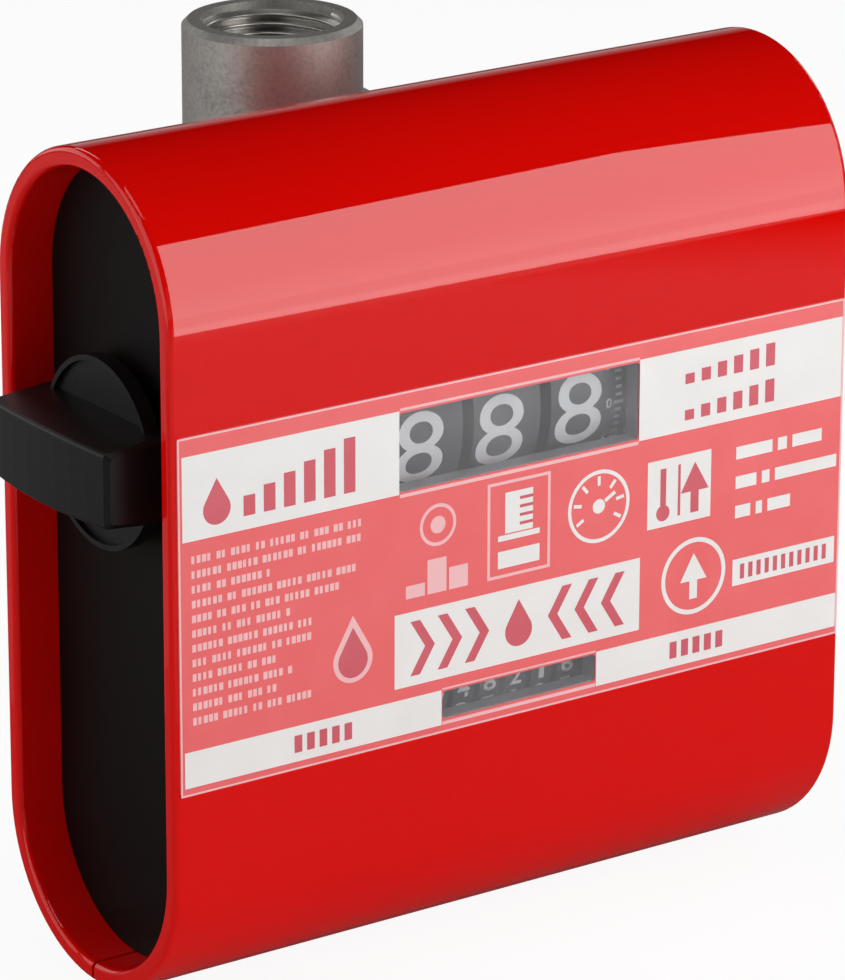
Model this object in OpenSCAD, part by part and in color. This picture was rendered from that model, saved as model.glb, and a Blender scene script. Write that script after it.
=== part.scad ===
// Mechanical diesel flow meter: a nutating disc meter body behind a tubular steel counter case.
// The origin is the centre of the inlet port face. Z runs up the pipe and the counter faces -Y.

/* [Counter case] */
// Width of the case
shell_w = 184; // [170:1:240]
// Height of the case
shell_h = 193; // [189:1:220]
// Depth of the case
shell_d = 70; // [70:1:84]
// Wall of the case
shell_t = 4.5; // [3:0.5:5]
// Rounding of the case's open rims
rim_r = 1.5; // [0.5:0.25:1.5]
// Open seam along the underside of the case
seam_gap = 1; // [0.5:0.25:2]
// Depth of the recess at each open end
end_recess = 11.3; // [10:0.1:14]
// Sheet thickness of the end panels
panel_t = 1.5; // [1:0.25:3]
// Depth of the flange behind each end panel
panel_flange = 12; // [6:1:20]

/* [Overlay and windows] */
// Thickness of the printed overlay
label_t = 0.4; // [0.2:0.1:0.6]
// Width of the overlay
label_w = 181.5; // [172:0.5:182]
// Height of the overlay
label_h = 81.8; // [80:0.1:100]
// Width of the batch counter window
window_w = 66.5; // [60:0.5:68]
// Height of the batch counter window
window_h = 19.3; // [17:0.1:24]
// Width of the totaliser window
total_window_w = 43.4; // [40:0.1:46]
// Height of the totaliser window
total_window_h = 7.6; // [6:0.1:10]
// Corner radius of the windows
window_r = 1; // [0.5:0.25:2]

/* [Ports] */
// Outer diameter of the port bosses
port_od = 42; // [40:0.5:46]
// Diameter of the tapped port bore
port_bore_d = 33.24; // [30:0.01:36]
// Depth of the tapped port bore
port_depth = 20; // [16:1:22]
// Distance that each port face stands past the case
port_proud = 2.5; // [1:0.5:6]
// Distance from the case's back to the pipe axis
port_back = 29; // [27:0.5:32]
// Chamfer at the mouth of each port boss
port_chamfer = 1.4; // [0.5:0.1:2]
// Diameter of the passage from a port to the chamber
passage_d = 26; // [24:0.5:27]

/* [Meter body] */
// Gap round the measuring chamber inside the meter body
chamber_room = 4.5; // [4:0.5:6]
// Wall of the meter body
drum_wall = 7.5; // [7.5:0.5:9]
// Depth of the rear cover's spigot
spigot_l = 5.3; // [5:0.1:10]
// Thickness of the rear cover
cover_t = 5; // [4.5:0.5:6]
// Number of cover screws
cover_screws_n = 8; // [6:1:10]
// Diameter of the flange that is screwed to the case
body_flange_d = 144; // [140:1:150]
// Thickness of that flange
body_flange_t = 17; // [16:0.5:18]

/* [Measuring chamber] */
// Bore of the measuring chamber
chamber_d = 82; // [80:0.5:84]
// Wall round the measuring chamber
chamber_wall = 4.5; // [4.5:0.5:5]
// Tilt of the disc in degrees
disc_tilt = 13.3; // [12:0.1:14]
// Thickness of the nutating disc
disc_t = 3; // [2:0.25:3.25]
// Diameter of the disc's ball
ball_d = 28; // [26:0.5:28]
// Gap between the disc and its chamber
chamber_gap = 0.15; // [0.1:0.01:0.2]
// Thickness of the partition plate
partition_t = 2; // [1.5:0.1:2]
// Width of the slot in the disc
disc_slot = 4.6; // [4.4:0.1:5.5]

/* [Counter wheels] */
// Outer diameter of the batch counter wheels
wheel_d = 58; // [56:0.5:58]
// Spacing of the batch counter wheels
wheel_pitch = 21.2; // [20:0.1:21.4]
// Gap between neighbouring batch counter wheels
wheel_gap = 3; // [2.8:0.1:4]
// Outer diameter of the totaliser wheels
total_d = 20; // [19.6:0.1:20]
// Spacing of the totaliser wheels
total_pitch = 7.2; // [7:0.1:7.3]
// Gap between neighbouring totaliser wheels
total_gap = 1.6; // [1.5:0.1:2]
// Diameter of the reset shaft
reset_d = 8; // [7:0.5:9]

/* [Reset knob] */
// Diameter of the knob's round flange
flange_d = 43.5; // [40:0.5:48]
// Thickness of the knob's round flange
flange_t = 2.5; // [2:0.5:4]
// Length of the grip bar
grip_l = 48.5; // [44:0.5:52]
// Height of the grip bar at its outer face
grip_h = 18; // [16:0.1:20]
// Height of the grip bar at its base
grip_base_h = 20.5; // [20:0.5:24]
// Distance that the grip stands past the case
grip_proud = 10.75; // [8:0.25:14]

/* [Gears] */
// Module of the gears in the counter
gear_m = 0.75; // [0.7:0.01:0.75]
// Module of the gears in the meter body
body_gear_m = 0.8; // [0.76:0.01:0.8]

/* [Hidden] */
$fn = 96;

// Overrun of every cut past the face that it starts from
over = 1;
// Running gap of a bore round its shaft, and gap of a fixed pin in its hole
run_gap = 0.05;
pin_gap = 0.02;
// Gap between faces that pass each other
face_gap = 0.3;

// Main planes of the case and the pipe
case_r = shell_d / 2;
y_back = -port_back;
y_front = y_back - shell_d;
y_mid = y_back - case_r;
port_span = shell_h + 2 * port_proud;
mid_z = port_span / 2;
inner_d = shell_d - 2 * shell_t;
inner_h = shell_h - 2 * shell_t;
y_inner_back = y_back - shell_t;
y_inner_front = y_front + shell_t;
panel_x = shell_w / 2 - end_recess;
panel_gap = 0.15;

// Places of the counter, the totaliser and the drive, from the middle of the case
counter_rise = 27.5;
window_rise = 26.85;
total_drop = 34.5;
drive_drop = 19;
label_drop = 0.1;
window_x = -0.45;
total_x = -0.3;
wheel_x = 0.8;
wheel_r = wheel_d / 2;
total_r = total_d / 2;
wheel_front_gap = 2;
total_front_gap = 1.5;
cross_back = 5.5;
wheel_y = y_inner_front + wheel_front_gap + wheel_r;
wheel_z = mid_z + counter_rise;
total_y = y_inner_front + total_front_gap + total_r;
total_z = mid_z - total_drop;
cross_y = wheel_y + cross_back;
drive_z = mid_z - drive_drop;

// Tooth forms: addendum and dedendum per module, thickness as shares of half the pitch
add_share = 0.8;
ded_share = 1.05;
root_share = 0.58;
tip_share = 0.22;

// Land between a wheel's gear ring and its rim, in modules
wheel_land_share = 4.6;
total_land_share = 5;

// Numbers of teeth
pinion_n = 12;
lay_n = 36;
bevel_small_n = 16;
bevel_large_n = 24;
cluster_small_n = 14;
total_drive_n = 28;
transfer_n = 8;
total_transfer_n = 12;
wheel_gear_n = 40;
total_gear_n = 20;
total_wheels_n = 6;
ring_n = 2 * floor((wheel_r - 2 * gear_m) / gear_m);

// Pitch radii and centre distances
ring_r = ring_n * gear_m / 2;
pinion_r = pinion_n * gear_m / 2;
transfer_m = wheel_r * 2 / (wheel_gear_n + wheel_land_share);
transfer_reach = (wheel_gear_n + transfer_n) * transfer_m / 2;
transfer_angle = 60;
total_transfer_m = total_r * 2 / (total_gear_n + total_land_share);
total_transfer_reach = (total_gear_n + total_transfer_n) * total_transfer_m / 2;
total_transfer_angle = -45;
wheel_at = [wheel_y, wheel_z];
total_at = [total_y, total_z];
cross_at = [cross_y, drive_z];
transfer_at = wheel_at + transfer_reach * [cos(transfer_angle), sin(transfer_angle)];
total_transfer_at = total_at
  + total_transfer_reach * [cos(total_transfer_angle), sin(total_transfer_angle)];
idler_n = ceil((norm(wheel_at - cross_at) - ring_r - pinion_r) / gear_m) + 1;
idler_at = meet(cross_at, (pinion_n + idler_n) * gear_m / 2,
  wheel_at, (ring_n + idler_n) * gear_m / 2, -1);
cluster_at = meet(cross_at, (pinion_n + lay_n) * gear_m / 2,
  total_at, (cluster_small_n + total_drive_n) * gear_m / 2, -1);

// Directions from one gear's centre to the next, and the turn that brings teeth into gaps
idler_turn = mesh_turn(pinion_n, 0, idler_n, heading(cross_at, idler_at));
ring_turn = mesh_turn(idler_n, idler_turn, ring_n, heading(idler_at, wheel_at));
cluster_turn = mesh_turn(pinion_n, 0, lay_n, heading(cross_at, cluster_at));
total_drive_turn = mesh_turn(cluster_small_n, 0, total_drive_n,
  heading(cluster_at, total_at));
transfer_turn = mesh_turn(wheel_gear_n, 0, transfer_n, transfer_angle);
total_transfer_turn = mesh_turn(total_gear_n, 0, total_transfer_n, total_transfer_angle);

// Gears in the meter body, in X and Z
crank_at = [0, mid_z];
output_at = [0, drive_z];
lay_reach = (pinion_n + lay_n) * body_gear_m / 2;
lay_at = meet(output_at, lay_reach, crank_at, lay_reach, -1);
lay_turn = mesh_turn(pinion_n, 0, lay_n, heading(crank_at, lay_at));
output_turn = mesh_turn(pinion_n, 0, lay_n, heading(lay_at, output_at));
lay_tip_r = (lay_n / 2 + add_share) * body_gear_m;
pocket_side = 7;
pocket_drop = 13;
pocket_at = [pocket_side, mid_z - pocket_drop];
pocket_d = 55;
plate_d = 72;
plate_t = 4;
plate_pcd = 64;
plate_screws_n = 6;
pocket_depth = 9.5;
floor_t = 3;
y_floor = y_back + pocket_depth;
y_cavity = y_floor + floor_t;
gear_t = 3;
gear_step = 1;
y_gear_back = y_floor - gear_step;
y_gear_mid = y_gear_back - gear_t;
y_gear_front = y_gear_mid - gear_step;
crank_plate_d = 15;
crank_plate_gap = 0.4;
crank_pin_d = 3;
gear_pin_d = 3;
spindle_d = 5;
spindle_tail_d = 3;
plate_boss_d = 16;
plate_boss_l = 5;
seal_d = 10;
seal_l = 3;
seal_lip = 1;
bush_d = 8;
ring_groove_d = 58.6;
ring_section = 1.4;

// Columns along X
wheel_w = wheel_pitch - wheel_gap;
hundreds_x = wheel_x - wheel_pitch;
units_x = wheel_x + wheel_pitch;
units_left = units_x - wheel_w / 2;
units_extra = 3.4;
units_w = wheel_w + units_extra;
ring_step = 0.5;
ring_left = units_left + units_w + ring_step;
ring_w = 3;
cheek_t = 2;
cheek_step = 3;
cheek_left = hundreds_x - wheel_w / 2 - cheek_step - cheek_t;
cheek_right = ring_left + ring_w + cheek_step;
total_w = total_pitch - total_gap;
total_first_x = total_x + (total_wheels_n - 1) / 2 * total_pitch;
total_drive_left = total_first_x + total_w / 2 + total_gap / 2;
total_drive_w = 2;
cluster_w = 2.5;
cluster_step = 1.5;
cross_pinion_step = 1;
cluster_left = ring_left - cluster_w - cluster_step;
cross_pinion_left = cluster_left - cross_pinion_step;
cross_pinion_w = ring_left + ring_w - cross_pinion_left;

// Bevel pair: the apex is where the spindle meets the cross shaft
bevel_small_r = bevel_small_n * gear_m / 2;
bevel_large_r = bevel_large_n * gear_m / 2;
bevel_face_share = 0.36;

// Shafts and pins of the counter
transfer_d = 3;
cross_d = 4;
total_shaft_d = 2.5;
total_transfer_d = 1.8;
counter_pin_d = 3;
tie_rod_d = 4;
rivet_d = 2.6;

// Frame of the counter, from the middle of the case
frame_front_gap = 4;
frame_up = 61;
frame_down = 56;
frame_r = 8;
mount_screw_x = 32;
mount_screw_up = 52;
mount_screw_down = 48;
mount_screw_d = 5;
mount_head_d = 8.5;
mount_head_t = 5;
mount_screw_l = 16;
frame_mid_x = (cheek_left + cheek_right + cheek_t) / 2;
y_frame_front = y_inner_front + frame_front_gap;
frame_slot_h = 28;

// Seats of the knob's bush in the left panel
bush_neck_d = 13;
bush_rim_d = 20;
bush_rim_t = 1.2;
bush_back = 4;

// Overlay and its windows
window_rim = 0.5;
label_r = 1;
label_x = 0.25;

// Rods that tie the frame's cheeks together, in Y and Z
tie_up = 53;
tie_down = 41;
tie_front = 10.5;
tie_back = 12;
tie_rod_at = [[y_inner_front + tie_front, mid_z + tie_up],
  [y_inner_back - tie_back, mid_z - tie_down]];

// Heads and ends of the gears' pins
pin_head = 1.5;
lay_pin_end = 2;

// Shoulder under each port boss
flare_d = 76;
flare_slope = 34;
flare_drop = 16.5;
flange_chamfer = 2;

// Chamfer of the rear cover and the room round it in the port bosses
cover_chamfer = 2;
cover_relief = 1.5;

// Screws of the cover and the gearbox plate
screw_depth = 8;
screw_end_gap = 1;
cover_screw_d = 4;
cover_screw_l = 14;
cover_head_d = 7;
cover_head_t = 4;
plate_screw_d = 4;
plate_head_d = 7;
plate_head_t = 2;
socket_share = 0.55;

// Calibration screw, its boss and its plug
calib_boss_d = 20;
calib_boss_l = 8;
calib_bore_d = 10;
calib_depth = 12;
calib_screw_d = 5;
calib_screw_short = 1;
plug_l = 8;
plug_hex_share = 1.5;
plug_head_t = 4;

// Half depth of the measuring chamber and the planes that it sets
chamber_cap = 3.1;
chamber_half = chamber_d / 2 * tan(disc_tilt) + disc_t / 2 / cos(disc_tilt) + chamber_gap
  + chamber_cap;
y_chamber_rear = y_cavity + 2 * chamber_half;
y_chamber_mid = y_cavity + chamber_half;

// Bore and outside of the meter body, and the middle of its wall
chamber_r = chamber_d / 2 + chamber_wall;
cavity_d = 2 * (chamber_r + chamber_room);
drum_d = cavity_d + 2 * drum_wall;
cover_pcd = drum_d - drum_wall;
drum_back = y_chamber_rear + spigot_l;
drum_end = drum_d / 2 + calib_boss_l;

// Rear cover, its spigot and its seal
spigot_gap = 0.1;
spigot_grip = 2;
spigot_wall = chamber_room + spigot_grip;
seal_groove_w = 3;
seal_groove_t = 2.6;
seal_section = 2.2;
seal_y = drum_back - spigot_l / 2;
cover_dish_d = 84;
cover_dish_t = 2;
cover_rib_t = 4;
cover_ribs_n = 6;

// Angles of the partition and of the two ports about the chamber axis
outlet_angle = 90;
partition_angle = 110;
inlet_angle = 130;
chamber_port_w = 18;
chamber_port_h = 14;
pin_window_d = 16;
groove_depth = 2.5;
groove_half = 8;
tongue_gap = 0.1;

// Sleeve from the chamber to the outlet
sleeve_d = 25.6;
sleeve_bore = 18;
sleeve_sink = 3;
sleeve_reach = 3;
sleeve_seat = chamber_r - sleeve_sink;
sleeve_l = cavity_d / 2 + sleeve_reach - sleeve_seat;

// Basket strainer in the inlet
strainer_rim_d = 31;
strainer_t = 1;
strainer_room = 1;
strainer_z = port_depth + face_gap + strainer_t;
strainer_l = mid_z - cavity_d / 2 - strainer_z - strainer_room;
strainer_slots = 12;
strainer_slot_w = 1.8;
strainer_gap = 0.5;

// Knob and grip bar
knob_hub_d = 26;
flange_inset = 5;
flange_rim_w = 1.2;
flange_rim_t = 1.2;
grip_edge = 1;
grip_bow = 1.75;
grip_crown = 0.5;
grip_steps = 4;
shaft_in_grip = 9;
knob_x = -shell_w / 2 + flange_inset;
grip_x = -shell_w / 2 - grip_proud;

// Keyway and clip of the reset shaft
shaft_key_w = 1.5;
shaft_key_t = 1;
clip_d = 12;
clip_t = 1;
clip_seat = 6.4;
shaft_tip = 1;

// Walls and gear rings of the batch counter wheels
rim_t = 2.2;
web_t = 2.5;
hub_wall = 2.5;
gear_ring_t = 1.2;
drive_clear = 0.5;
drive_ring_d = 2 * (transfer_reach - (transfer_n / 2 + add_share) * transfer_m - drive_clear);

// Gear rings of the totaliser wheels
total_ring_t = 0.6;
total_drive_clear = 0.25;
total_drive_d = 2 * (total_transfer_reach
  - (total_transfer_n / 2 + add_share) * total_transfer_m - total_drive_clear);
total_pinion_gap = 0.2;

// Crank, disc pin and bevel hubs
crank_tip = 1.8;
crank_neck = 0.5;
pin_reach_gap = 0.3;
disc_pin_d = 3;
y_bevel = cross_y + bevel_large_r;
spindle_gap = 0.5;
small_hub_l = 3;
large_hub_l = 5;
large_bevel_turn = 180 + 180 / bevel_large_n;

// Where two circles round a and b cross, on one side of the line from a to b
function meet(a, ra, b, rb, side) =
  let (
    d = norm(b - a),
    u = (ra * ra - rb * rb + d * d) / (2 * d),
    h = sqrt(max(0, ra * ra - u * u)),
    e = (b - a) / d
  )
  a + u * e + side * h * [-e[1], e[0]];

// Angle of the line from a to b
function heading(a, b) = atan2(b[1] - a[1], b[0] - a[0]);

// Turn of gear b that puts its teeth in the gaps of gear a, where b lies at angle dir from a
function mesh_turn(na, turn_a, nb, dir) = dir + 180 - (na / nb) * (turn_a - dir) - 180 / nb;

// Corners of a gear with straight-sided teeth
function tooth_points(n, root_r, tip_r, turn) = [
  for (i = [0 : n - 1])
    let (a = turn + i * 360 / n, half = 180 / n)
      each [
        for (p = [[root_r, -root_share], [tip_r, -tip_share],
            [tip_r, tip_share], [root_r, root_share]])
          p[0] * [cos(a + p[1] * half), sin(a + p[1] * half)]
      ]
];

// Flat outline of a spur gear
module gear_outline(n, m, turn) {
  r = n * m / 2;
  polygon(tooth_points(n, r - ded_share * m, r + add_share * m, turn));
}

// Rectangle about its centre with round corners
module rounded_rect(w, h, r) {
  square([w - 2 * r, h], center = true);
  square([w, h - 2 * r], center = true);
  for (sx = [-1, 1], sy = [-1, 1])
    translate([sx * (w / 2 - r), sy * (h / 2 - r)]) circle(r);
}

// Upright slot shape with round ends
module stadium(w, h) {
  square([w, h - w], center = true);
  for (s = [-1, 1]) translate([0, s * (h - w) / 2]) circle(d = w);
}

// Local Z runs along +X, local X along +Y and local Y along +Z
module on_x(x, at) {
  translate([x, at[0], at[1]]) rotate([90, 0, 90]) children();
}

// Local Z runs towards the front, local X along +X and local Y along +Z
module on_front(y, at) {
  translate([at[0], y, at[1]]) rotate([90, 0, 0]) children();
}

// Plain round bar along X
module bar_x(x, at, d, l) {
  on_x(x, at) cylinder(d = d, h = l);
}

// Spur gear along X with a bore
module gear_x(x, at, n, m, turn, w, bore_d) {
  on_x(x, at) difference() {
    linear_extrude(w) gear_outline(n, m, turn);
    translate([0, 0, -over]) cylinder(d = bore_d, h = w + 2 * over);
  }
}

// Counter case

// Section of the case wall along X, with rounded rims
module wall_section() {
  translate([shell_t / 2, 0]) rounded_rect(shell_t, shell_w, rim_r);
}

// Wall of the case swept round its slot shape
module case_tube() {
  flat_h = shell_h - shell_d;
  on_x(0, [y_mid, mid_z]) {
    for (s = [0, 1]) rotate([0, 0, s * 180]) {
      translate([0, flat_h / 2, 0]) rotate_extrude(angle = 180)
        translate([case_r - shell_t, 0]) wall_section();
      translate([case_r - shell_t, flat_h / 2, 0]) rotate([90, 0, 0])
        linear_extrude(flat_h) wall_section();
    }
  }
}

module shell() {
  color("firebrick") difference() {
    case_tube();
    on_front(y_front + shell_t + over, [window_x, mid_z + window_rise])
      linear_extrude(shell_t + 2 * over) rounded_rect(window_w, window_h, window_r);
    on_front(y_front + shell_t + over, [total_x, total_z])
      linear_extrude(shell_t + 2 * over)
        rounded_rect(total_window_w, total_window_h, window_r);
    on_front(y_back + over, pocket_at)
      cylinder(d = plate_d + 2 * face_gap, h = shell_t + 2 * over);
    for (p = mount_points()) on_front(y_back + over, p)
      cylinder(d = mount_screw_d + 2 * face_gap, h = shell_t + 2 * over);
    translate([-shell_w / 2 - over, y_mid - seam_gap / 2, port_proud - over])
      cube([shell_w + 2 * over, seam_gap, shell_t + 2 * over]);
  }
}

// End panel: a pressed tray with its flange turned into the case
module panel_tray() {
  w = inner_d - 2 * panel_gap;
  h = inner_h - 2 * panel_gap;
  linear_extrude(panel_t) stadium(w, h);
  linear_extrude(panel_flange) difference() {
    stadium(w, h);
    stadium(w - 2 * panel_t, h - 2 * panel_t);
  }
}

module end_panel_left() {
  color("dimgray") difference() {
    on_x(-panel_x, [y_mid, mid_z]) panel_tray();
    bar_x(-panel_x - over, wheel_at, bush_neck_d + 2 * pin_gap, panel_t + 2 * over);
  }
}

module end_panel_right() {
  color("dimgray") mirror([1, 0, 0]) on_x(-panel_x, [y_mid, mid_z]) panel_tray();
}

// Printed overlay with its clear windows let in
module label() {
  color("indianred") on_front(y_front, [label_x, mid_z - label_drop])
    linear_extrude(label_t) difference() {
      rounded_rect(label_w, label_h, label_r);
      translate([window_x - label_x, window_rise + label_drop])
        rounded_rect(window_w - 2 * window_rim, window_h - 2 * window_rim, window_r);
      translate([total_x - label_x, label_drop - total_drop])
        rounded_rect(total_window_w - 2 * window_rim, total_window_h - 2 * window_rim,
          window_r);
    }
}

module counter_window() {
  color("lightgray") on_front(y_front, [window_x, mid_z + window_rise])
    linear_extrude(label_t)
      rounded_rect(window_w - 2 * window_rim, window_h - 2 * window_rim, window_r);
}

module totaliser_window() {
  color("lightgray") on_front(y_front, [total_x, total_z]) linear_extrude(label_t)
    rounded_rect(total_window_w - 2 * window_rim, total_window_h - 2 * window_rim,
      window_r);
}

// Frame of the counter

// Screws that hold the counter frame and the case to the meter body
function mount_points() = [
  for (sx = [-1, 1], dz = [mount_screw_up, -mount_screw_down])
    [frame_mid_x + sx * mount_screw_x, mid_z + dz]
];

module cheek_outline() {
  w = y_inner_back - y_frame_front;
  h = frame_up + frame_down;
  translate([y_frame_front + w / 2, mid_z + (frame_up - frame_down) / 2]) {
    rounded_rect(w, h, frame_r);
    translate([0, -h / 2]) square([w / 2, h]);
  }
}

// Two cheeks joined by a back plate
module counter_frame() {
  span = cheek_right + cheek_t - cheek_left;
  color("silver") difference() {
    union() {
      for (x = [cheek_left, cheek_right]) translate([x, 0, 0])
        rotate([90, 0, 90]) linear_extrude(cheek_t) cheek_outline();
      translate([cheek_left, y_inner_back - cheek_t, mid_z - frame_down])
        cube([span, cheek_t, frame_up + frame_down]);
    }
    on_front(y_inner_back + over, pocket_at)
      cylinder(d = plate_d + plate_t, h = cheek_t + 2 * over);
    translate([cheek_left + cheek_t, y_inner_back - cheek_t - over,
        wheel_z - frame_slot_h / 2])
      cube([cheek_right - cheek_left - cheek_t, cheek_t + 2 * over, frame_slot_h]);
    for (p = mount_points()) on_front(y_inner_back + over, p)
      cylinder(d = mount_screw_d + 2 * face_gap, h = cheek_t + 2 * over);
    frame_bore(wheel_at, reset_d + 2 * run_gap);
    frame_bore(cross_at, cross_d + 2 * run_gap);
    frame_bore(transfer_at, transfer_d + 2 * pin_gap);
    frame_bore(total_at, total_shaft_d + 2 * pin_gap);
    frame_bore(total_transfer_at, total_transfer_d + 2 * pin_gap);
    for (at = tie_rod_at) frame_bore(at, rivet_d + 2 * pin_gap);
    for (at = [idler_at, cluster_at])
      bar_x(cheek_right - over, at, counter_pin_d + 2 * pin_gap, cheek_t + 2 * over);
  }
}

module frame_bore(at, d) {
  bar_x(cheek_left - over, at, d, cheek_right + cheek_t - cheek_left + 2 * over);
}

module tie_rods() {
  inside = cheek_right - cheek_left - cheek_t;
  color("silver") for (at = tie_rod_at) {
    bar_x(cheek_left + cheek_t, at, tie_rod_d, inside);
    bar_x(cheek_left, at, rivet_d, inside + 2 * cheek_t);
  }
}

module transfer_shaft() {
  color("silver") bar_x(cheek_left, transfer_at, transfer_d,
    cheek_right + cheek_t - cheek_left);
}

module totaliser_shaft() {
  color("silver") bar_x(cheek_left, total_at, total_shaft_d,
    cheek_right + cheek_t - cheek_left);
}

module totaliser_transfer_shaft() {
  color("silver") bar_x(cheek_left, total_transfer_at, total_transfer_d,
    cheek_right + cheek_t - cheek_left);
}

module gear_pins() {
  color("silver") {
    bar_x(ring_left - pin_head, idler_at, counter_pin_d,
      cheek_right + cheek_t - ring_left + pin_head);
    bar_x(total_drive_left - pin_head, cluster_at, counter_pin_d,
      cheek_right + cheek_t - total_drive_left + pin_head);
    on_front(y_floor + lay_pin_end, lay_at)
      cylinder(d = gear_pin_d, h = pocket_depth + 2 * lay_pin_end);
  }
}

// Meter body

// One port boss, pointing up from the middle of the body
module port_boss() {
  boss_r = port_od / 2;
  rotate_extrude() polygon([
    [0, 0], [boss_r, 0],
    [boss_r, mid_z - port_chamfer],
    [boss_r - port_chamfer, mid_z],
    [0, mid_z]
  ]);
}

// Shoulder that widens from a port boss down to the flange
module port_shoulder() {
  boss_r = port_od / 2;
  flare_r = flare_d / 2;
  flare_z = mid_z - flare_drop;
  rotate_extrude() polygon([
    [0, 0], [flare_r, 0],
    [flare_r, flare_z - (flare_r - boss_r) * tan(flare_slope)],
    [boss_r, flare_z],
    [0, flare_z]
  ]);
}

// What is made twice, upwards and downwards from the middle
module up_and_down() {
  translate([0, 0, mid_z]) {
    children();
    mirror([0, 0, 1]) children();
  }
}

module body_blank() {
  flange_back = y_back + body_flange_t;
  on_front(drum_back, crank_at) cylinder(d = drum_d, h = drum_back + port_back);
  on_front(flange_back - flange_chamfer, crank_at)
    cylinder(d = body_flange_d, h = body_flange_t - flange_chamfer);
  on_front(flange_back, crank_at)
    cylinder(d1 = body_flange_d - 2 * flange_chamfer, d2 = body_flange_d, h = flange_chamfer);
  intersection() {
    up_and_down() port_shoulder();
    translate([-flare_d / 2, y_back, 0]) cube([flare_d, body_flange_t, port_span]);
  }
  difference() {
    up_and_down() port_boss();
    on_front(drum_back + port_od, crank_at)
      cylinder(d = drum_d + 2 * cover_relief, h = port_od);
  }
  on_x(0, [0, mid_z]) cylinder(d = calib_boss_d, h = drum_d / 2 + calib_boss_l);
}

module meter_body() {
  color("gainsboro") difference() {
    body_blank();
    on_front(drum_back + over, crank_at) cylinder(d = cavity_d, h = drum_back - y_cavity + over);
    on_front(y_back + pocket_depth, pocket_at)
      cylinder(d = pocket_d, h = pocket_depth + over);
    on_front(y_cavity + over, crank_at)
      cylinder(d = crank_plate_d + 2 * crank_plate_gap, h = floor_t + 2 * over);
    translate([0, 0, -over]) cylinder(d = port_bore_d, h = port_depth + over);
    translate([0, 0, port_span - port_depth])
      cylinder(d = port_bore_d, h = port_depth + over);
    translate([0, 0, port_depth - over])
      cylinder(d = passage_d, h = mid_z - port_depth);
    translate([0, y_chamber_mid, mid_z])
      cylinder(d = passage_d, h = mid_z - port_depth + over);
    translate([0, 0, port_depth - over])
      cylinder(d = strainer_rim_d + 2 * pin_gap, h = strainer_t + face_gap + over);
    for (p = cover_points()) on_front(drum_back + over, p)
      cylinder(d = cover_screw_d, h = cover_screw_l - cover_t + 2 * over);
    for (p = plate_points()) on_front(y_back + screw_depth, p)
      cylinder(d = plate_screw_d, h = screw_depth + over);
    for (p = mount_points()) on_front(y_back + mount_screw_l - shell_t - cheek_t + over, p)
      cylinder(d = mount_screw_d, h = mount_screw_l + 2 * over);
    on_front(y_floor + lay_pin_end, lay_at)
      cylinder(d = gear_pin_d + 2 * pin_gap, h = pocket_depth);
    on_front(y_floor + lay_pin_end, output_at)
      cylinder(d = spindle_tail_d + 2 * run_gap, h = pocket_depth);
    bar_x(drum_end - calib_depth, [0, mid_z], calib_bore_d + 2 * pin_gap,
      calib_depth + over);
    bar_x(cavity_d / 2 - over, [0, mid_z], calib_screw_d + 2 * pin_gap,
      drum_end - cavity_d / 2);
  }
}

// Places of the rear cover's screws, in X and Z
function cover_points() = [
  for (i = [0 : cover_screws_n - 1])
    let (a = (i + 0.5) * 360 / cover_screws_n)
      crank_at + cover_pcd / 2 * [cos(a), sin(a)]
];

// Places of the gearbox plate's screws, in X and Z
function plate_points() = [
  for (i = [0 : plate_screws_n - 1])
    let (a = i * 360 / plate_screws_n)
      pocket_at + plate_pcd / 2 * [cos(a), sin(a)]
];

// Rear cover with a spigot in the body and a ribbed back
module rear_cover() {
  spigot_d = cavity_d - 2 * spigot_gap;
  color("gainsboro") difference() {
    union() {
      on_front(drum_back + cover_t, crank_at)
        cylinder(d1 = drum_d - 2 * cover_chamfer, d2 = drum_d, h = cover_chamfer);
      on_front(drum_back + cover_t - cover_chamfer, crank_at)
        cylinder(d = drum_d, h = cover_t - cover_chamfer);
      on_front(drum_back, crank_at) cylinder(d = spigot_d, h = spigot_l);
    }
    on_front(drum_back, crank_at) translate([0, 0, -face_gap])
      cylinder(d = spigot_d - 2 * spigot_wall, h = spigot_l + face_gap + over);
    on_front(seal_y + seal_groove_w / 2, crank_at) difference() {
      cylinder(d = cavity_d + over, h = seal_groove_w);
      translate([0, 0, -over])
        cylinder(d = cavity_d - 2 * seal_groove_t, h = seal_groove_w + 2 * over);
    }
    on_front(drum_back + cover_t + over, crank_at) difference() {
      cylinder(d = cover_dish_d, h = cover_dish_t + over);
      for (i = [0 : cover_ribs_n / 2 - 1]) rotate([0, 0, i * 360 / cover_ribs_n])
        translate([-cover_dish_d, -cover_rib_t / 2, -over])
          cube([2 * cover_dish_d, cover_rib_t, cover_dish_t + 3 * over]);
      translate([0, 0, -over])
        cylinder(d = cover_dish_d / 3, h = cover_dish_t + 3 * over);
    }
    for (p = cover_points()) on_front(drum_back + cover_t + over, p)
      cylinder(d = cover_screw_d + 2 * face_gap, h = cover_t + 2 * over);
  }
}

// Cap screw along -Y with its head against the plane y
module cap_screw(y, at, d, l, head_d, head_t, socket_share) {
  on_front(y, at) {
    cylinder(d = d, h = l);
    difference() {
      translate([0, 0, -head_t]) cylinder(d = head_d, h = head_t);
      translate([0, 0, -head_t - over])
        cylinder(d = head_d * socket_share, h = head_t / 2 + over, $fn = 6);
    }
  }
}

module cover_screws() {
  color("gray") for (p = cover_points())
    cap_screw(drum_back + cover_t, p, cover_screw_d - 2 * pin_gap, cover_screw_l,
      cover_head_d, cover_head_t, socket_share);
}

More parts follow.
